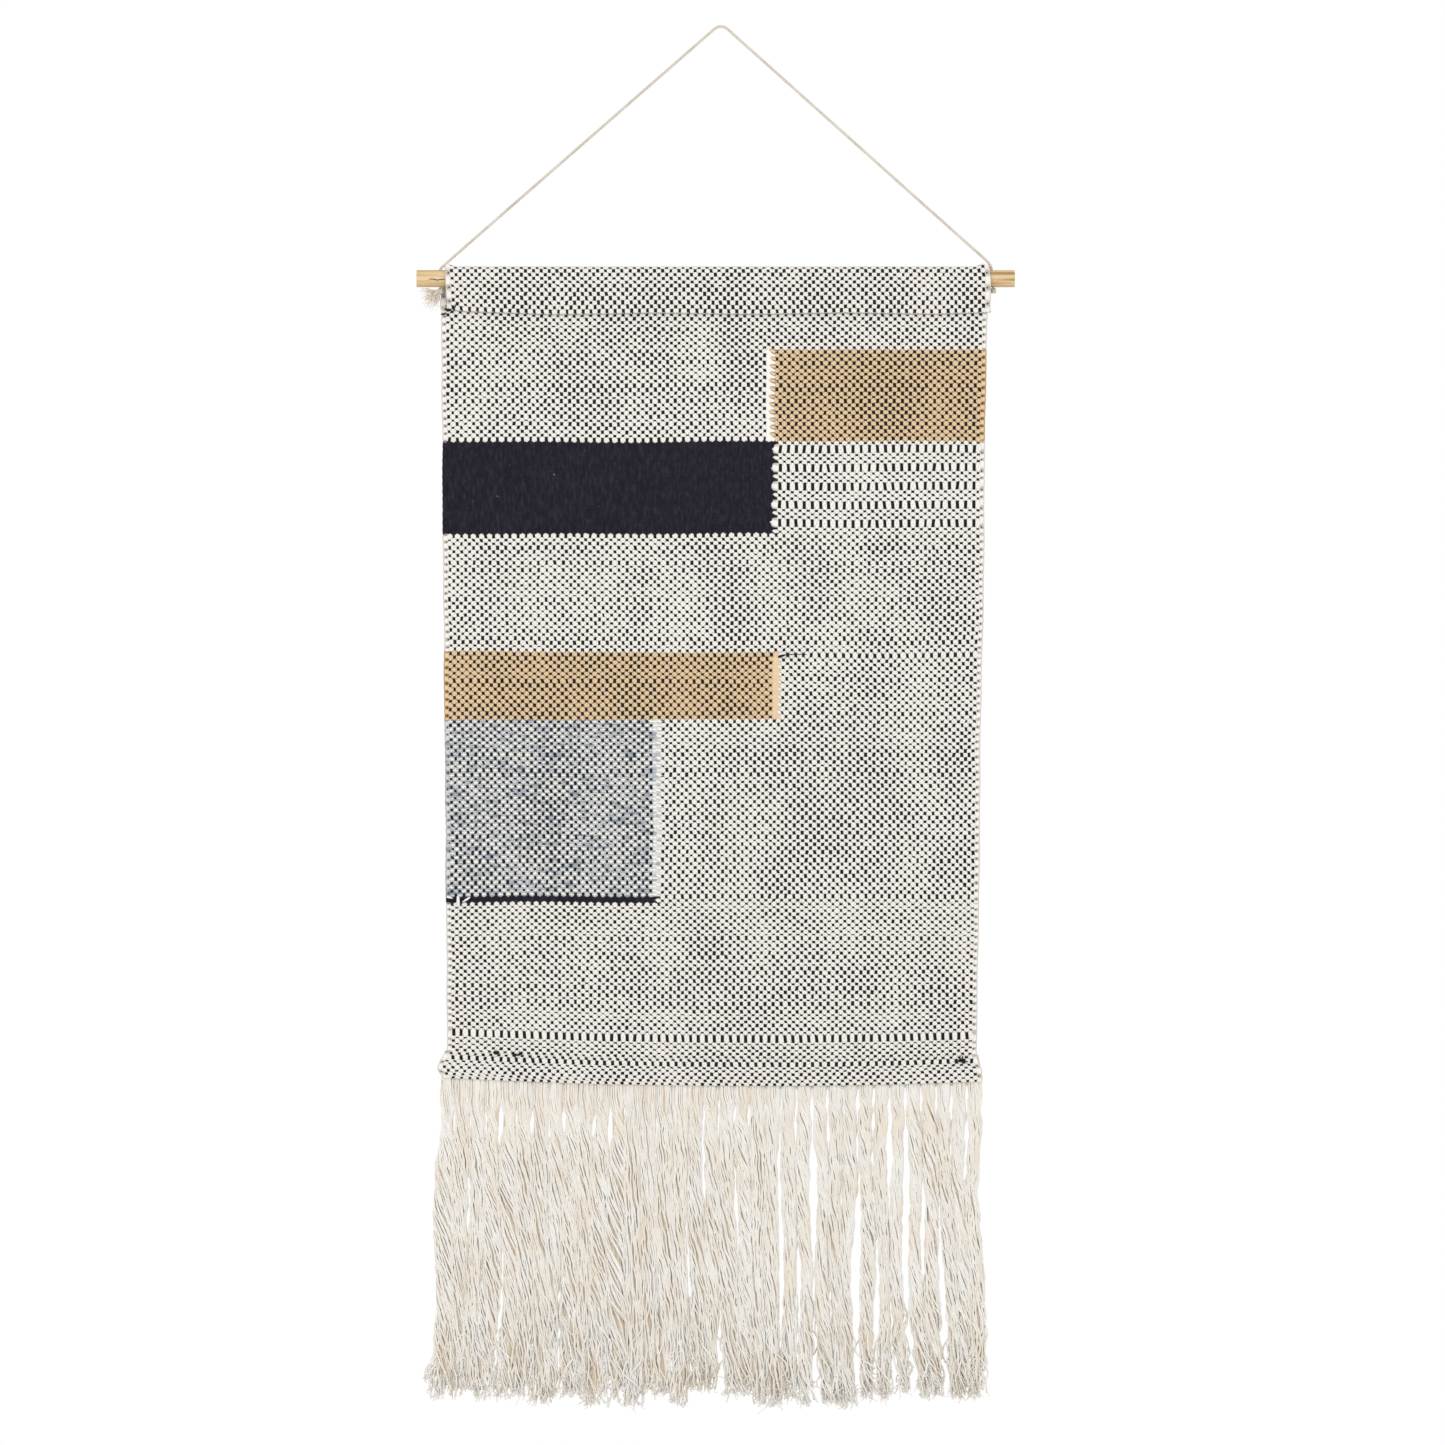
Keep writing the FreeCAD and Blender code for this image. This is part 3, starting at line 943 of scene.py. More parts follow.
def woven_area(area, materials, flat_inside=False):
    """A closed piece of cloth with its weave on both sides."""
    outer, outer_warp = one_side(area, 0)
    inner, inner_warp = one_side(area, 1)
    rows, columns = outer[0].shape
    out = CLOTH / 2 - outer[2] + area.out_shift(outer[0], outer[1])
    outside = to_space(area, outer[0], outer[1], out)
    inner_depth = 0 * inner[2] + 0.05 if flat_inside else inner[2]
    inside = to_space(area, inner[0], inner[1], inner_depth - CLOTH / 2)
    count = rows * columns
    faces = np.concatenate([
        grid_faces(rows, columns, 0, False),
        grid_faces(rows, columns, count, True),
        rim_faces(rows, columns, count),
    ])
    rim_count = len(faces) - outer_warp.size - inner_warp.size
    slots = np.concatenate([outer_warp.ravel(), inner_warp.ravel(), np.zeros(rim_count, bool)])
    if area.yarn == "navy":
        slots[:] = False
    values = {
        "hollow": np.concatenate([outer[3].ravel(), inner[3].ravel()]),
        "tone": np.concatenate([outer[4].ravel(), inner[4].ravel()]),
    }
    piece = add_mesh(
        area.name + "_weave",
        np.concatenate([outside, inside]),
        faces.tolist(),
        [materials[area.yarn], materials["black"]],
        slots.astype(np.int32),
        values,
    )
    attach(piece, "cloth")
    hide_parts(area.name)
    return piece


def panel_areas():
    """All areas between the pocket and the hem, each below or beside the ones before it."""
    areas = {}

    def add(name, yarn, rows, above=None, left=None, right=None):
        middle = (rows[0][0] + rows[-1][1]) / 2
        first = 0 if left is None else nearest_end(left, middle)
        last = WARP_ENDS if right is None else nearest_end(right, middle)
        rows_above = areas[above].rows_below() if above else 0
        areas[name] = Area(name, yarn, rows, first, last, rows_above)
        return areas[name]

    navy_rows = plain_rows(NAVY_TOP, NAVY_BOTTOM, 24)
    dash_rows = dashed_rows(NAVY_TOP, NAVY_BOTTOM, "pf" + "pppf" * 4 + "pp", 8.0, 3.1)
    line_rows = dashed_rows(LOWER_TAN_TOP, NAVY_LINE_BOTTOM, "f", 1, 1)
    foot_dashes = dashed_rows(DASH_ROW_TOP, DASH_ROW_BOTTOM, "fp", 7.8, 2.6)
    tan_rows = plain_rows(UPPER_TAN_TOP, NAVY_TOP, 24)
    add("ecru_field_top", "ecru", plain_rows(POCKET_SEAM_Z, UPPER_TAN_TOP, 10))
    add("ecru_field_upper_left", "ecru", tan_rows, "ecru_field_top", right=UPPER_TAN_JOIN)
    add("tan_block_upper", "tan", tan_rows, "ecru_field_top", left=UPPER_TAN_JOIN)
    add("navy_block", "navy", navy_rows, "ecru_field_upper_left", right=DASHED_JOIN)
    add("dashed_block", "ecru", dash_rows, "tan_block_upper", left=DASHED_JOIN)
    middle_rows = plain_rows(NAVY_BOTTOM, LOWER_TAN_TOP, 31)
    add("ecru_field_middle", "ecru", middle_rows, "navy_block")
    lower_tan_rows = plain_rows(LOWER_TAN_TOP, LOWER_TAN_BOTTOM, 17)
    add("tan_block_lower", "tan", lower_tan_rows, "ecru_field_middle", right=LOWER_TAN_JOIN)
    add("navy_line_right", "ecru", line_rows, "ecru_field_middle", left=LOWER_TAN_JOIN)
    right_rows = plain_rows(NAVY_LINE_BOTTOM, LOWER_TAN_BOTTOM, 16)
    add("ecru_field_right", "ecru", right_rows, "navy_line_right", left=LOWER_TAN_JOIN)
    grey_rows = plain_rows(LOWER_TAN_BOTTOM, GREY_BOTTOM, 45)
    add("grey_block", "grey", grey_rows, "tan_block_lower", right=GREY_JOIN)
    lower_right_rows = plain_rows(LOWER_TAN_BOTTOM, GREY_LINE_BOTTOM, 47)
    add("ecru_field_lower_right", "ecru", lower_right_rows, "tan_block_lower", left=GREY_JOIN)
    left_line_rows = plain_rows(GREY_BOTTOM, GREY_LINE_BOTTOM, 2)
    add("navy_line_left", "navy", left_line_rows, "grey_block", right=GREY_JOIN)
    bottom_rows = plain_rows(GREY_LINE_BOTTOM, DASH_ROW_TOP, 36)
    add("ecru_field_bottom", "ecru", bottom_rows, "navy_line_left")
    add("dashed_row", "ecru", foot_dashes, "ecru_field_bottom")
    add("ecru_field_foot", "ecru", plain_rows(DASH_ROW_BOTTOM, HEM_TOP, 4), "dashed_row")
    for name in ("ecru_field_right", "navy_line_right"):
        areas[name].tongue_reach = 5.2
    areas["grey_block"].crown_half_width = 1.8
    areas["grey_block"].crown_share = 0.66
    areas["grey_block"].crown_rounding = 0.4
    areas["grey_block"].ribbed = True
    areas["ecru_field_foot"].out_shift = stitched_dent
    return areas


def folded_areas(foot):
    """The pocket over the dowel and the folded hem."""
    path, length = path_along(pocket_points())
    pocket_rows = plain_rows(0, -length, 26, tall_row=25)
    pocket = Area("rod_pocket", "ecru", pocket_rows)
    pocket.edges = pocket_edges
    pocket.path = path
    pocket.picks_per_loop = 4
    pocket.sewn_foot = True
    pocket.out_shift = puffed_corners
    path, length = path_along(hem_points())
    hem_rows = plain_rows(0, -length, 16, tall_row=1)
    hem = Area("bottom_hem", "ecru", hem_rows, rows_above=foot.rows_below())
    hem.edges = hem_edges
    hem.path = path
    hem.picks_per_loop = 3
    hem.out_shift = stitched_hem
    return pocket, hem


def cloth(materials):
    """All woven areas: the panel's, then the pocket and the hem."""
    areas = panel_areas()
    for area in areas.values():
        piece = woven_area(area, materials)
    for area, rest in zip(folded_areas(areas["ecru_field_foot"]), ("dowel", "ecru_field_foot")):
        piece = woven_area(area, materials, flat_inside=True)


# Cord, knots and thread


def cord_curve():
    """The cord's own line as a smooth curve through its route."""
    data = bpy.data.curves.new("cord_route", "CURVE")
    data.dimensions = "3D"
    spline = data.splines.new("NURBS")
    spline.points.add(len(CORD_ROUTE) - 1)
    for point, place_at in zip(spline.points, CORD_ROUTE):
        point.co = (*in_metres(place_at), 1.0)
    spline.order_u = 3
    spline.use_endpoint_u = True
    spline.resolution_u = 24
    return add_object("cord_route", data)


def in_metres(point):
    return [value * MM for value in point]


def line_points(curve, step):
    """Evenly spaced points in millimetres along a curve object."""
    depsgraph = bpy.context.evaluated_depsgraph_get()
    mesh = bpy.data.meshes.new_from_object(curve.evaluated_get(depsgraph))
    points = np.array([vertex.co for vertex in mesh.vertices]) / MM
    bpy.data.meshes.remove(mesh)
    along = np.concatenate([[0], np.cumsum(np.linalg.norm(np.diff(points, axis=0), axis=1))])
    count = int(along[-1] / step)
    wanted = np.linspace(0, along[-1], count)
    return np.stack([np.interp(wanted, along, points[:, k]) for k in range(3)], axis=1)


def twisted(line, ply_radius, offset):
    """The cord's plies laid round one line of points, as points and faces."""
    side, other = side_vectors(line[None])
    along = np.arange(len(line)) * np.linalg.norm(line[1] - line[0])
    paths = []
    for ply in range(CORD_PLIES):
        angle = math.tau * (ply / CORD_PLIES - along / CORD_LAY)
        across = np.cos(angle)[:, None] * side[0] + np.sin(angle)[:, None] * other[0]
        paths.append(line + offset * across)
    radii = np.full((CORD_PLIES, len(line)), ply_radius)
    return tubes(np.array(paths), radii, PLY_SIDES)


def hanging_cord(materials):
    """The cord from knot to knot, and the line that it follows."""
    curve = cord_curve()
    line = line_points(curve, 0.6)
    bpy.data.objects.remove(curve)
    shape = twisted(line, CORD_PLY_RADIUS, CORD_PLY_OFFSET)
    name = "hanging_cord"
    cord = add_piece(name + "_twist", shape, materials["cord"], "hanger", "cord_cotton", name, tone=1.0)
    return cord, line


def stopper_knot(name, x, lean, materials):
    """An overhand knot of the cord, pulled tight."""
    turn = np.linspace(0, math.tau, 90)
    reach = 1.55 + 0.75 * np.cos(3 * turn)
    line = np.stack([
        x + reach * np.cos(2 * turn + lean) * 0.95,
        reach * np.sin(2 * turn + lean) * 0.95,
        KNOT_CENTRE_Z + 1.35 * np.sin(3 * turn),
    ], axis=1)
    points, faces = twisted(line, KNOT_PLY_RADIUS, KNOT_PLY_OFFSET)
    points[:, 2] = np.minimum(points[:, 2], KNOT_TOP_Z - 0.02)
    shape = (points, faces)
    return add_piece(name + "_tied", shape, materials["cord"], "hanger", "cord_cotton", name, tone=0.8)


def curly_fibres(roots, headings, lengths, curl, source, steps):
    """Thin paths that set off along headings and curl more and more."""
    count = len(roots)
    share = np.linspace(0, 1, steps)[None, :, None]
    paths = roots[:, None] + headings[:, None] * share * lengths[:, None, None]
    across = source.normal(0, 1, (count, 3))
    over = source.normal(0, 1, (count, 3))
    turns = source.uniform(2.0, 5.5, (count, 1, 1))
    start = source.uniform(0, math.tau, (count, 1, 1))
    wave = np.sin(start + turns * share * 2) - np.sin(start)
    other = np.cos(start + turns * share * 1.7) - np.cos(start)
    size = curl * share**1.3
    return paths + size * (across[:, None] * wave + over[:, None] * other)


def cord_tail(materials):
    """The frayed brush below the left knot, fanned out to the left and down."""
    source = np.random.default_rng(5)
    count = 85
    steps = 10
    angle = np.radians(source.uniform(170, 262, count))
    headings = np.stack([np.cos(angle), source.normal(0, 0.16, count), np.sin(angle)], axis=1)
    roots = np.stack([
        LEFT_HOLE_X - 1.5 + source.normal(0, 0.8, count),
        source.normal(0, 0.9, count),
        KNOT_CENTRE_Z - 0.5 + source.normal(0, 0.7, count),
    ], axis=1)
    lengths = source.uniform(10, 19.5, count)
    paths = curly_fibres(roots, headings, lengths, 1.3, source, steps)
    paths[:, :, 2] = np.minimum(paths[:, :, 2], KNOT_TOP_Z - 0.3)
    radii = np.linspace(0.42, 0.16, steps)[None] * source.uniform(0.7, 1.2, (count, 1))
    shape = tubes(paths, radii, FIBRE_SIDES)
    tone = np.repeat(source.uniform(0, 1, count), steps * FIBRE_SIDES)
    name = "cord_tail_left"
    return add_piece(name + "_frayed", shape, materials["tail"], "hanger", "cord_cotton", name, tone=tone)


def stitches(starts, length, height, radius, source):
    """Short thread arcs that come out of the cloth and go back in, as points and faces."""
    steps = 7
    share = np.linspace(0, 1, steps)
    paths = np.zeros((len(starts), steps, 3))
    paths[:, :, 0] = starts[:, None, 0] + share * length
    paths[:, :, 1] = starts[:, None, 1] - height * np.sin(share * math.pi)
    paths[:, :, 2] = starts[:, None, 2] + source.normal(0, 0.25, (len(starts), 1)) * (share - 0.5)
    return tubes(paths, np.full(paths.shape[:2], radius), THREAD_SIDES)


def pocket_stitching(materials):
    """Ecru thread that sews the flap down, sunk between the yarns."""
    source = np.random.default_rng(8)
    x = np.arange(-253.4, 246.0, 7.6)
    z = POCKET_SEAM_Z + 0.3 + sag(x, np.full(len(x), POCKET_SEAM_Z))
    starts = np.stack([x, np.full(len(x), -3.9), z], axis=1)
    shape = stitches(starts, 3.2, 0.5, 0.26, source)
    name = "pocket_stitching"
    add_piece(name + "_thread", shape, materials["thread"], "cloth", "sewing_thread", name, tone=0.5)


def yarn_bit(points, radii):
    """A short piece of yarn through three points, with a radius at each, as points and faces."""
    places = np.linspace(0, 1, 3)
    wanted = np.linspace(0, 1, 14)
    path = np.stack([np.interp(wanted, places, column) for column in zip(*points)], axis=1)
    for _ in range(2):
        path[1:-1] = (path[:-2] + 2 * path[1:-1] + path[2:]) / 4
    return tubes(path[None], np.interp(wanted, places, radii)[None], THREAD_SIDES)


def navy_thread(materials):
    """The end of the navy yarn, thick where it leaves the join and thin across the first dashes."""
    x = LOWER_TAN_JOIN
    z = LOWER_TAN_TOP - 2.6
    thick = [(x - 5.5, -1.1, z - 2.0), (x - 3.6, -1.9, z - 1.4), (x + 1.5, -2.0, z)]
    thin = [(x + 1.0, -2.0, z), (x + 12, -2.1, z + 0.5), (x + 21, -1.9, z + 0.2)]
    shape = join([yarn_bit(thick, [1.0, 1.3, 0.5]), yarn_bit(thin, [0.45, 0.35, 0.28])])
    name = "navy_line_right_yarn"
    # A fixed shading value: painted with very little shade.
    add_piece(name, shape, materials["navy"], "cloth", "navy_cotton", hollow=0.1, tone=0.5)


def navy_line_start(materials):
    """Undyed yarn that crosses the navy line near its left end and parts it into teeth."""
    shape = join([
        yarn_bit([(-256.2, -1.4, -811.5), (-253.5, -1.7, -812.0), (-250.8, -1.4, -813.2)], [1.0, 1.1, 0.3]),
        yarn_bit([(-245.7, -1.2, -811.2), (-245.6, -1.8, -815.5), (-245.4, -1.2, -820.2)], [1.2, 1.5, 1.4]),
        yarn_bit([(-241.6, -1.4, -816.4), (-238.0, -1.7, -814.2), (-234.4, -1.4, -812.0)], [0.3, 1.1, 0.6]),
    ])
    name = "navy_line_left_crossing_yarn"
    # A fixed shading value, which paints it in the bright ring-highlight colour of the ecru crowns.
    add_piece(name, shape, materials["ecru"], "cloth", "ecru_cotton", hollow=0.2, tone=0.8)


def corner_yarns(materials):
    """Black warp ends that turn at the two lower corners of the sleeve's flap."""
    shape = join([
        yarn_bit([(-258.0, -4.0, -262.5), (-255.0, -4.9, -263.8), (-251.9, -4.9, -263.0)], [0.6, 1.5, 0.6]),
        yarn_bit([(-248.2, -4.9, -258.4), (-247.9, -5.0, -260.2), (-248.6, -4.9, -261.8)], [0.3, 0.5, 0.3]),
        yarn_bit([(-262.0, -1.7, -267.5), (-259.4, -2.1, -267.2), (-257.0, -2.3, -266.6)], [0.3, 1.1, 0.7]),
        yarn_bit([(248.0, -3.2, -264.0), (250.0, -3.1, -264.8), (252.0, -2.0, -264.6)], [0.6, 0.8, 0.4]),
    ])
    add_piece("rod_pocket_corner_yarns", shape, materials["black"], "cloth", "black_cotton")


def thread_knot(x, z, lean):
    """A small knot of black thread on the front of the hem, as points and faces."""
    turn = np.linspace(0, math.tau, 40)
    reach = 0.8 + 0.35 * np.cos(3 * turn)
    line = np.stack([
        x + 1.9 * reach * np.cos(2 * turn + lean),
        -1.9 + 0.6 * reach * np.sin(2 * turn + lean),
        z + 0.75 * np.sin(3 * turn),
    ], axis=1)
    return tubes(line[None], np.full((1, len(line)), 1.05), THREAD_SIDES)


def slack_loop():
    """The thread's slack loop to the right of its left knot, as points and faces."""
    share = np.linspace(0, 1, 24)
    swing = np.sin(share * math.pi)
    top_z = HEM_TOP + 2.0 + float(sag(np.array(-190.5), np.array(HEM_TOP)))
    line = np.stack([-195.0 + 9.0 * share, -1.5 - 0.5 * swing, top_z - 2.6 * swing**0.6], axis=1)
    radii = 0.85 + 0.5 * np.abs(2 * share - 1)
    return tubes(line[None], radii[None], THREAD_SIDES)


def hem_thread_knots(materials):
    """Black thread ends on the front of the hem: a knot, a slack loop, and a knot with three tails."""
    shape = join([
        thread_knot(-210.0, -957.2, 0.3),
        thread_knot(224.5, -964.4, 1.7),
        slack_loop(),
        yarn_bit([(223, -2.0, -964.8), (220, -2.4, -965.4), (217.6, -2.0, -965.0)], [0.8, 0.7, 0.3]),
        yarn_bit([(226, -2.0, -965.2), (228.5, -2.4, -965.6), (230.8, -2.0, -965.2)], [0.9, 0.7, 0.3]),
        yarn_bit([(225, -2.0, -964.0), (225.8, -2.4, -961.5), (225.2, -2.0, -959.8)], [0.8, 0.6, 0.3]),
    ])
    name = "hem_thread_knots"
    add_piece(name + "_tied", shape, materials["black"], "cloth", "black_cotton", name)


# Fringe


def fringe_heading(materials):
    """The yarn ends side by side on the back of the hem, held by two lines of stitches."""
    source = np.random.default_rng(9)
    left = BUNDLE_LEFT + 3
    x = np.arange(left, BUNDLE_RIGHT - 1, 1.75)
    x = x + source.normal(0, 0.15, len(x))
    steps = 9
    share = np.linspace(0, 1, steps)
    top = -967.5 + source.normal(0, 0.6, len(x))
    pinch = np.exp(-(((share - 0.25) / 0.07) ** 2)) + np.exp(-(((share - 0.62) / 0.07) ** 2))
    paths = np.zeros((len(x), steps, 3))
    paths[:, :, 0] = x[:, None] + source.normal(0, 0.2, (len(x), steps))
    paths[:, :, 1] = 5.15 - 0.3 * pinch
    paths[:, :, 2] = blend(top[:, None], -988.5, share)
    paths[:, :, 2] += sag(paths[:, :, 0], paths[:, :, 2])
    radii = 0.92 - 0.22 * pinch + 0 * paths[:, :, 0]
    parts = [tubes(paths, radii, THREAD_SIDES)]
    for level in (-972.8, -980.6):
        stitch_x = np.arange(left, BUNDLE_RIGHT - 5, 5.2)
        stitch_z = level + sag(stitch_x, 0 * stitch_x + level)
        starts = np.stack([stitch_x, np.full(len(stitch_x), 5.6), stitch_z], axis=1)
        parts.append(stitches(starts, 3.6, -0.55, 0.32, source))
    shape = join(parts)
    tone = source.uniform(0, 1, len(shape[0]))
    name = "fringe_heading"
    add_piece(name + "_yarns", shape, materials["fringe"], "cloth", "fringe_cotton", name, tone=tone)


def curtain(share, parted, source):
    """Strands side by side at the hem that gather into a twisted bundle, about its own middle.

    Gives x and y of each strand and the bundle's half width, at each share of its length.
    """
    number = np.arange(STRANDS)[:, None]
    in_shell = number < SHELL_STRANDS
    start = np.where(in_shell, number / SHELL_STRANDS, source.uniform(0, 1, (STRANDS, 1)))
    start = start + source.normal(0, 0.01, (STRANDS, 1))
    angle = math.tau * (start + source.uniform(0.5, 2.6) * share)
    outer = source.uniform(0.86, 1.0, (STRANDS, 1))
    radius = np.where(in_shell, outer, source.uniform(0.1, 0.7, (STRANDS, 1)))
    fullness = source.uniform(0.98, 1.3) - 0.36 * parted
    fullness = fullness + 0.12 * np.sin(share * source.uniform(5, 12) + source.uniform(0, 6))
    top_width = 1.1 - 0.25 * parted
    half_width = 0.5 * BUNDLE_PITCH * blend(top_width, fullness, smooth_step(0.02, 0.3, share))
    gathered = smooth_step(0.0, 0.25 - 0.13 * parted, share)
    order = np.arcsin(np.cos(angle[:, :1])) * 2 / math.pi
    slot_x = (0.53 - 0.1 * parted) * BUNDLE_PITCH * order
    sunk = np.where(number % 2 == 0, 1.0, 0.2)
    layer = 2.0 * sunk * np.clip(2 * np.sin(angle[:, :1]), -1, 1)
    x = blend(slot_x, half_width * radius * np.cos(angle), gathered)
    y = blend(layer + 0.4, FRINGE_HALF_DEPTH * radius * np.sin(angle), gathered)
    return x, y, half_width


def bundle_line(number, share, source):
    """x of the middle of a bundle: it flares, leans and wanders on its way down."""
    top_x = BUNDLE_LEFT + (number + 0.5) * BUNDLE_PITCH
    middle = (BUNDLE_LEFT + BUNDLE_RIGHT) / 2
    foot_x = middle + (top_x - middle) * FRINGE_FLARE
    lean = source.normal(0, 2.5)
    wander = 2.0 * np.sin(share * source.uniform(4, 10) + source.uniform(0, 6))
    return blend(top_x, foot_x, share**2.5) + lean * share + wander * smooth_step(0, 0.3, share)


def crimp(share, phase, source):
    """The small waves of each strand, in x and y."""
    waves = source.uniform(38, 56) + source.normal(0, 1.2, (STRANDS, 1))
    size = source.uniform(0.5, 1.0, (STRANDS, 1)) * smooth_step(0.0, 0.06, share)
    wave = np.sin(share * waves + phase[:, :1]) + 0.45 * np.sin(share * waves * 2.7 + phase[:, 1:2])
    return size * wave, 0.6 * size * np.cos(share * waves * 0.9 + phase[:, 2:])


def loose_foot(share, phase, source):
    """How each strand curls away from its bundle near the foot, in x and y."""
    loose = source.uniform(0, 1, (STRANDS, 1)) < 0.35
    curl = np.where(loose, 4.5, 2.0) * smooth_step(np.where(loose, 0.55, 0.72), 1.0, share)
    turns = source.uniform(14, 42, (STRANDS, 2))
    x = curl * source.normal(0, 1, (STRANDS, 1)) * np.sin(share * turns[:, :1] + phase[:, 1:2])
    y = curl * source.normal(-0.4, 0.8, (STRANDS, 1)) * np.sin(share * turns[:, 1:] + phase[:, 2:])
    return x, 0.8 * y


def strand_paths(number, foot_z, source):
    """The centre lines of one bundle's strands, and its core as x, y, z and half width."""
    share = np.linspace(0, 1, STRAND_STEPS)[None]
    parted = smooth_step(0.4, 0.7, number / BUNDLES)
    x, y, half_width = curtain(share, parted, source)
    centre_x = bundle_line(number, share, source)
    phase = source.uniform(0, math.tau, 3) + source.normal(0, 0.55, (STRANDS, 3))
    crimp_x, crimp_y = crimp(share, phase, source)
    loose_x, loose_y = loose_foot(share, phase, source)
    x = x + centre_x + crimp_x + loose_x
    y = FRINGE_Y + y + crimp_y + loose_y
    length = 1 - np.abs(source.normal(0, 0.055, (STRANDS, 1)))
    z = FRINGE_TOP_Z + (foot_z + 5 - FRINGE_TOP_Z) * share * length

    # The tops follow the sagging hem, and keep behind its raised left corner.
    z = z + sag(x, np.full_like(z, HEM_BOTTOM)) * smooth_step(0.12, 0.0, share)
    z = z + 13 * np.exp(-(((x - BUNDLE_LEFT) / 4) ** 2)) * smooth_step(0.1, 0.0, share)
    past_corner = np.clip(BUNDLE_LEFT + 8 - x, 0, None)
    x = x + 0.8 * past_corner * smooth_step(0.08, 0.0, share)
    y = np.clip(y, -FRINGE_DEPTH_LIMIT, FRINGE_DEPTH_LIMIT)
    core_z = blend(FRINGE_TOP_Z, foot_z, share)
    core_width = (0.76 * half_width - 0.7) * smooth_step(0.98, 0.86, share)
    core = np.stack([centre_x, 0 * share + FRINGE_Y, core_z, core_width], axis=-1)[0]
    return np.stack([x, y, z], axis=-1), core


def bundle_core(core):
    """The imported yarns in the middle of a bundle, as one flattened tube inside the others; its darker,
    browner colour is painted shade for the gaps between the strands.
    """
    points, faces = tubes(core[None, :, :3], np.ones((1, len(core))), CORE_SIDES)
    points = points.reshape(len(core), CORE_SIDES, 3)
    half_depth = np.minimum(core[:, 3], 0.5 * FRINGE_HALF_DEPTH)
    angle = np.arange(CORE_SIDES) * math.tau / CORE_SIDES
    points[:, :, 0] = core[:, :1] + core[:, 3:] * np.cos(angle)
    points[:, :, 1] = core[:, 1:2] + half_depth[:, None] * np.sin(angle)
    points[:, :, 2] = core[:, 2:3]
    return points.reshape(-1, 3), faces


def frayed_ends(paths, foot_z, source):
    """One thin fibre from the end of each strand, as points and faces."""
    roots = paths[:, -2]
    along = paths[:, -2] - paths[:, -4]
    headings = along / np.linalg.norm(along, axis=1, keepdims=True)
    headings = headings + source.normal(0, 1, (STRANDS, 3)) * (0.3, 0.2, 0.1)
    lengths = source.uniform(4, 9, STRANDS)
    fibres = curly_fibres(roots, headings, lengths, 1.2, source, FIBRE_STEPS)
    fibres[:, :, 1] = np.clip(fibres[:, :, 1], -FRINGE_DEPTH_LIMIT, FRINGE_DEPTH_LIMIT)
    fibres[:, :, 2] = np.maximum(fibres[:, :, 2], foot_z - 6)
    radii = np.linspace(0.62, 0.4, FIBRE_STEPS)[None] * source.uniform(0.7, 1.2, (STRANDS, 1))
    return tubes(fibres, radii, FIBRE_SIDES)


def fringe_bundle(number, materials):
    """One bundle of loose yarns with frayed ends round a dense core, coloured darker as painted shade
    between the strands.
    """
    source = np.random.default_rng(300 + number)
    name = "fringe_bundle_" + str(number + 1).zfill(2)
    foot_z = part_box(name)[0].z / MM
    paths, core_line = strand_paths(number, foot_z, source)
    share = np.linspace(0, 1, STRAND_STEPS)[None]
    radii = source.uniform(0.76, 0.96, (STRANDS, 1)) * (1 - 0.3 * smooth_step(0.95, 1.0, share))
    radii = radii * (1 + 0.08 * np.sin(share * 90 + source.uniform(0, 6, (STRANDS, 1))))
    strands = tubes(paths, radii, STRAND_SIDES)
    strand_tones = np.repeat(source.uniform(0, 1, STRANDS), STRAND_STEPS * STRAND_SIDES)
    ends = frayed_ends(paths, foot_z, source)
    end_tones = np.repeat(source.uniform(0.3, 1, STRANDS), FIBRE_STEPS * FIBRE_SIDES)
    core = bundle_core(core_line)
    points, faces = join([strands, ends, core])
    slots = np.zeros(len(faces), np.int32)
    slots[-len(core[1]):] = 1
    tones = {"tone": np.concatenate([strand_tones, end_tones, np.ones(len(core[0]))])}
    yarns = [materials["fringe"], materials["fringe_core_shade"]]
    piece = add_mesh(name + "_yarns", points, faces, yarns, slots, tones)
    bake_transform(piece)
    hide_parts(name)


# Scene


def make_materials():
    # Four colours per yarn: a painted greyer crown centre, a painted ring highlight, painted shade where
    # yarns touch, and painted shade in the deepest recesses.
    ecru = [rgb(217, 213, 206), rgb(245, 243, 237), rgb(200, 191, 181), rgb(140, 131, 121)]
    tan = [rgb(206, 178, 138), rgb(230, 204, 166), rgb(164, 125, 80), rgb(104, 74, 44)]
    # Darker, browner cream of the bundle cores: painted shade for the gaps between the fringe's strands.
    inner_shade_colours = [rgb(238, 224, 203), rgb(225, 206, 181)]
    return {
        "ecru": yarn_material("ecru_cotton_yarn", *ecru),
        "tan": yarn_material("tan_cotton_yarn", *tan),
        "grey": grey_material(),
        "navy": navy_material(),
        "black": warp_material(),
        "cord": strand_material("cord_cotton_yarn", rgb(226, 217, 205), rgb(205, 193, 178), 0.13),
        "tail": strand_material("frayed_cord_fibre", rgb(250, 240, 226), rgb(236, 220, 202), 0.08),
        "thread": strand_material("sewing_thread_fibre", rgb(240, 236, 228), rgb(226, 220, 210), 0.1),
        "fringe": strand_material("fringe_cotton_yarn", rgb(247, 244, 238), rgb(241, 232, 218), 0.08),
        # The bundle cores' material: painted shade seen through the gaps between strands.
        "fringe_core_shade": strand_material("fringe_inner_painted_shade", *inner_shade_colours, 0.3, 0.03),
    }


def add_light(name, location, target, size, power):
    data = bpy.data.lights.new(name, "AREA")
    data.shape = "RECTANGLE"
    data.size = size[0]
    data.size_y = size[1]
    data.energy = power
    light = add_object(name, data)
    light.location = location
    aim(light, target)


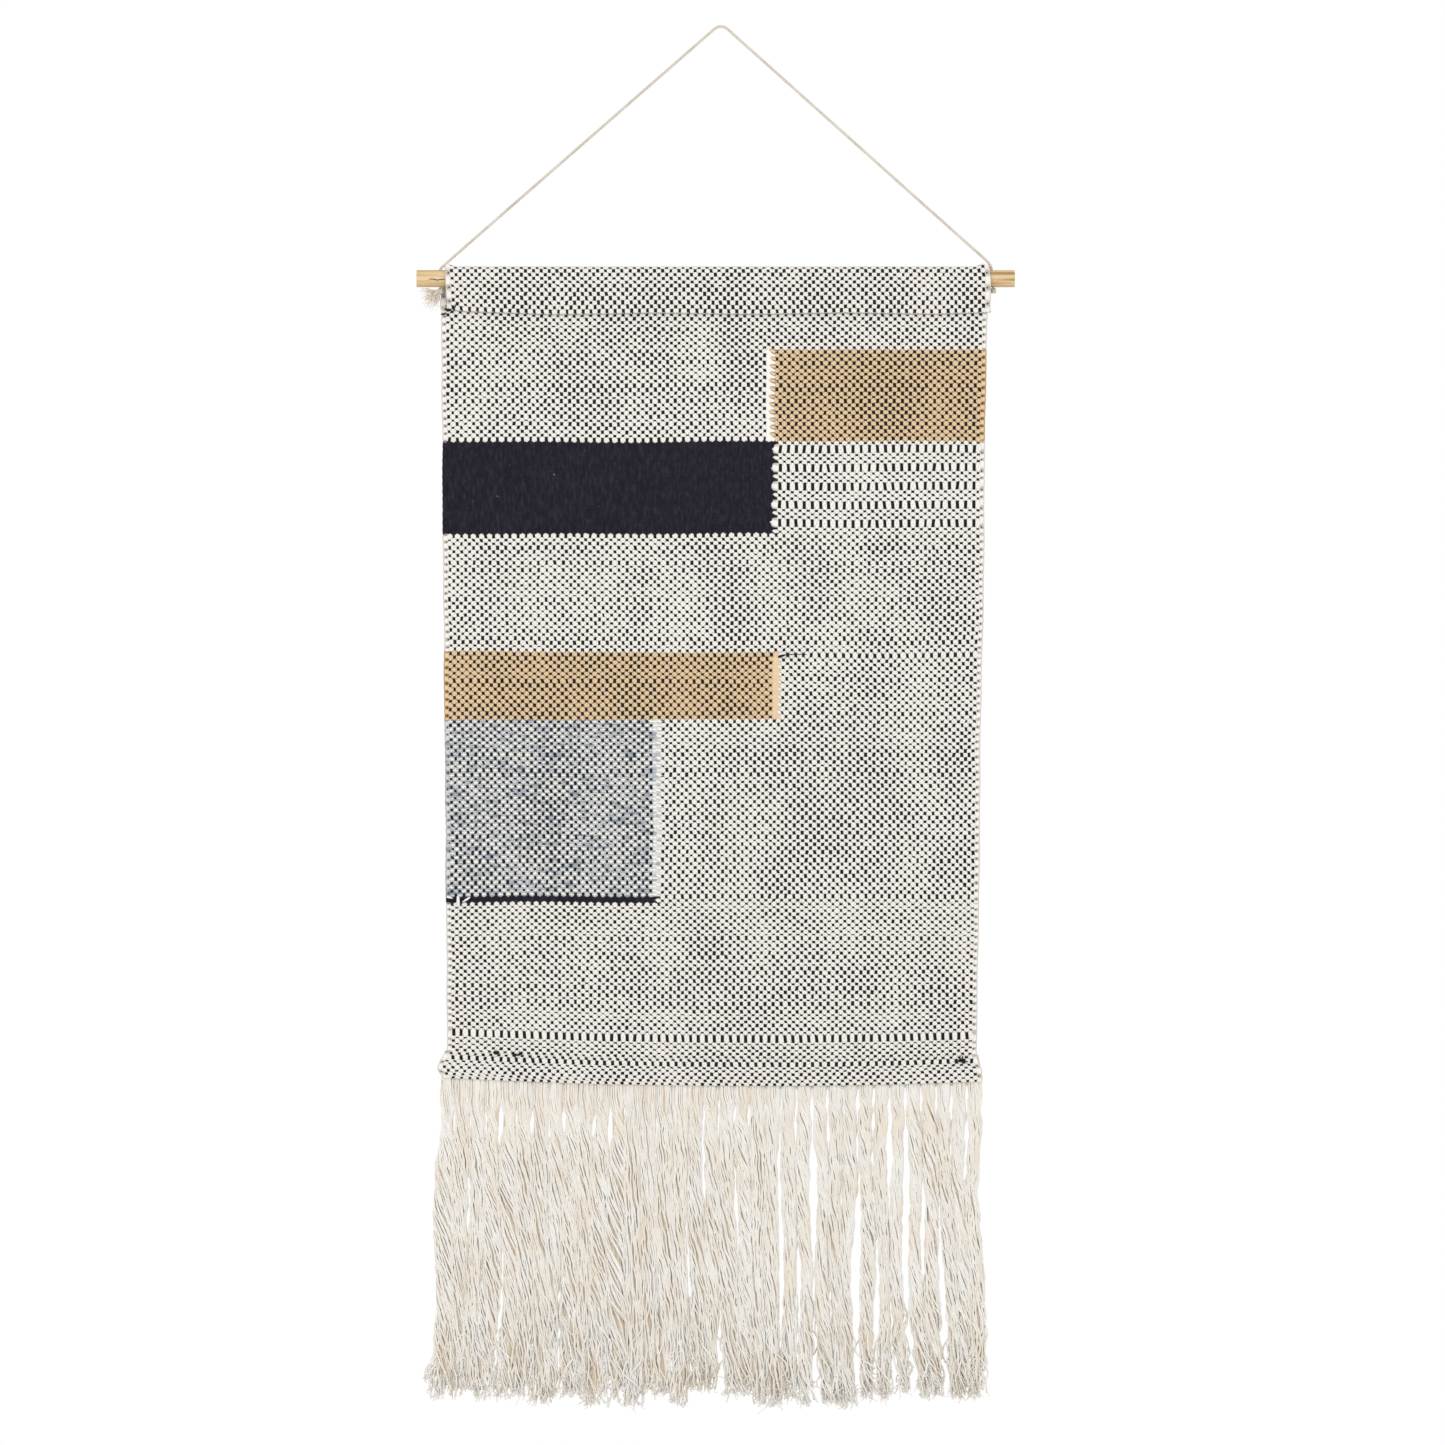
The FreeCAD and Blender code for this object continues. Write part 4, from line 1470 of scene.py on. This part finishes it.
def aim(obj, target):
    direction = Vector(target) - Vector(obj.location)
    obj.rotation_euler = direction.to_track_quat("-Z", "Y").to_euler()


def studio():
    """White surroundings, two large soft lights in front, and a pale floor below."""
    scene = bpy.context.scene
    scene.view_settings.view_transform = "Standard"
    world = bpy.data.worlds.new("studio")
    world.use_nodes = True
    background = world.node_tree.nodes["Background"]
    background.inputs["Color"].default_value = (1, 1, 1, 1)
    background.inputs["Strength"].default_value = 1.0
    scene.world = world
    add_light("key", (-1.4, -2.6, 0.6), (0, 0, -0.65), (1.6, 1.6), 11)
    add_light("fill", (1.7, -2.6, -0.2), (0, 0, -0.65), (1.6, 1.6), 6)
    place_at = (0, 0, FLOOR_Z * MM)
    bpy.ops.mesh.primitive_circle_add(vertices=96, radius=1.0, fill_type="NGON", location=place_at)
    floor = bpy.context.object
    floor.name = "floor"
    material, _, _, shader = new_material("floor_paper", 0.9)
    shader.inputs["Base Color"].default_value = (0.86, 0.86, 0.85, 1)
    floor.data.materials.append(material)


def camera():
    """A long lens straight in front of the cloth."""
    data = bpy.data.cameras.new("camera")
    data.sensor_width = SENSOR_WIDTH
    data.lens = SENSOR_WIDTH * CAMERA_DISTANCE / FRAME_WIDTH
    data.clip_end = 100
    obj = add_object("camera", data)
    obj.location = (CAMERA_CENTRE[0] * MM, -CAMERA_DISTANCE * MM, CAMERA_CENTRE[1] * MM)
    obj.rotation_euler = (math.pi / 2, 0, 0)
    bpy.context.scene.camera = obj


def main():
    camera()
    studio()
    materials = make_materials()
    cord, cord_line = hanging_cord(materials)
    left_knot = stopper_knot("stopper_knot_left", LEFT_HOLE_X, 0.0, materials)
    right_knot = stopper_knot("stopper_knot_right", RIGHT_HOLE_X, 0.9, materials)
    tail = cord_tail(materials)
    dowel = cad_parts["dowel"]
    wood = wood_material()
    for slot in dowel.material_slots:
        slot.material = wood
    cloth(materials)
    navy_thread(materials)
    navy_line_start(materials)
    corner_yarns(materials)
    pocket_stitching(materials)
    hem_thread_knots(materials)
    fringe_heading(materials)
    for number in range(BUNDLES):
        fringe_bundle(number, materials)


main()
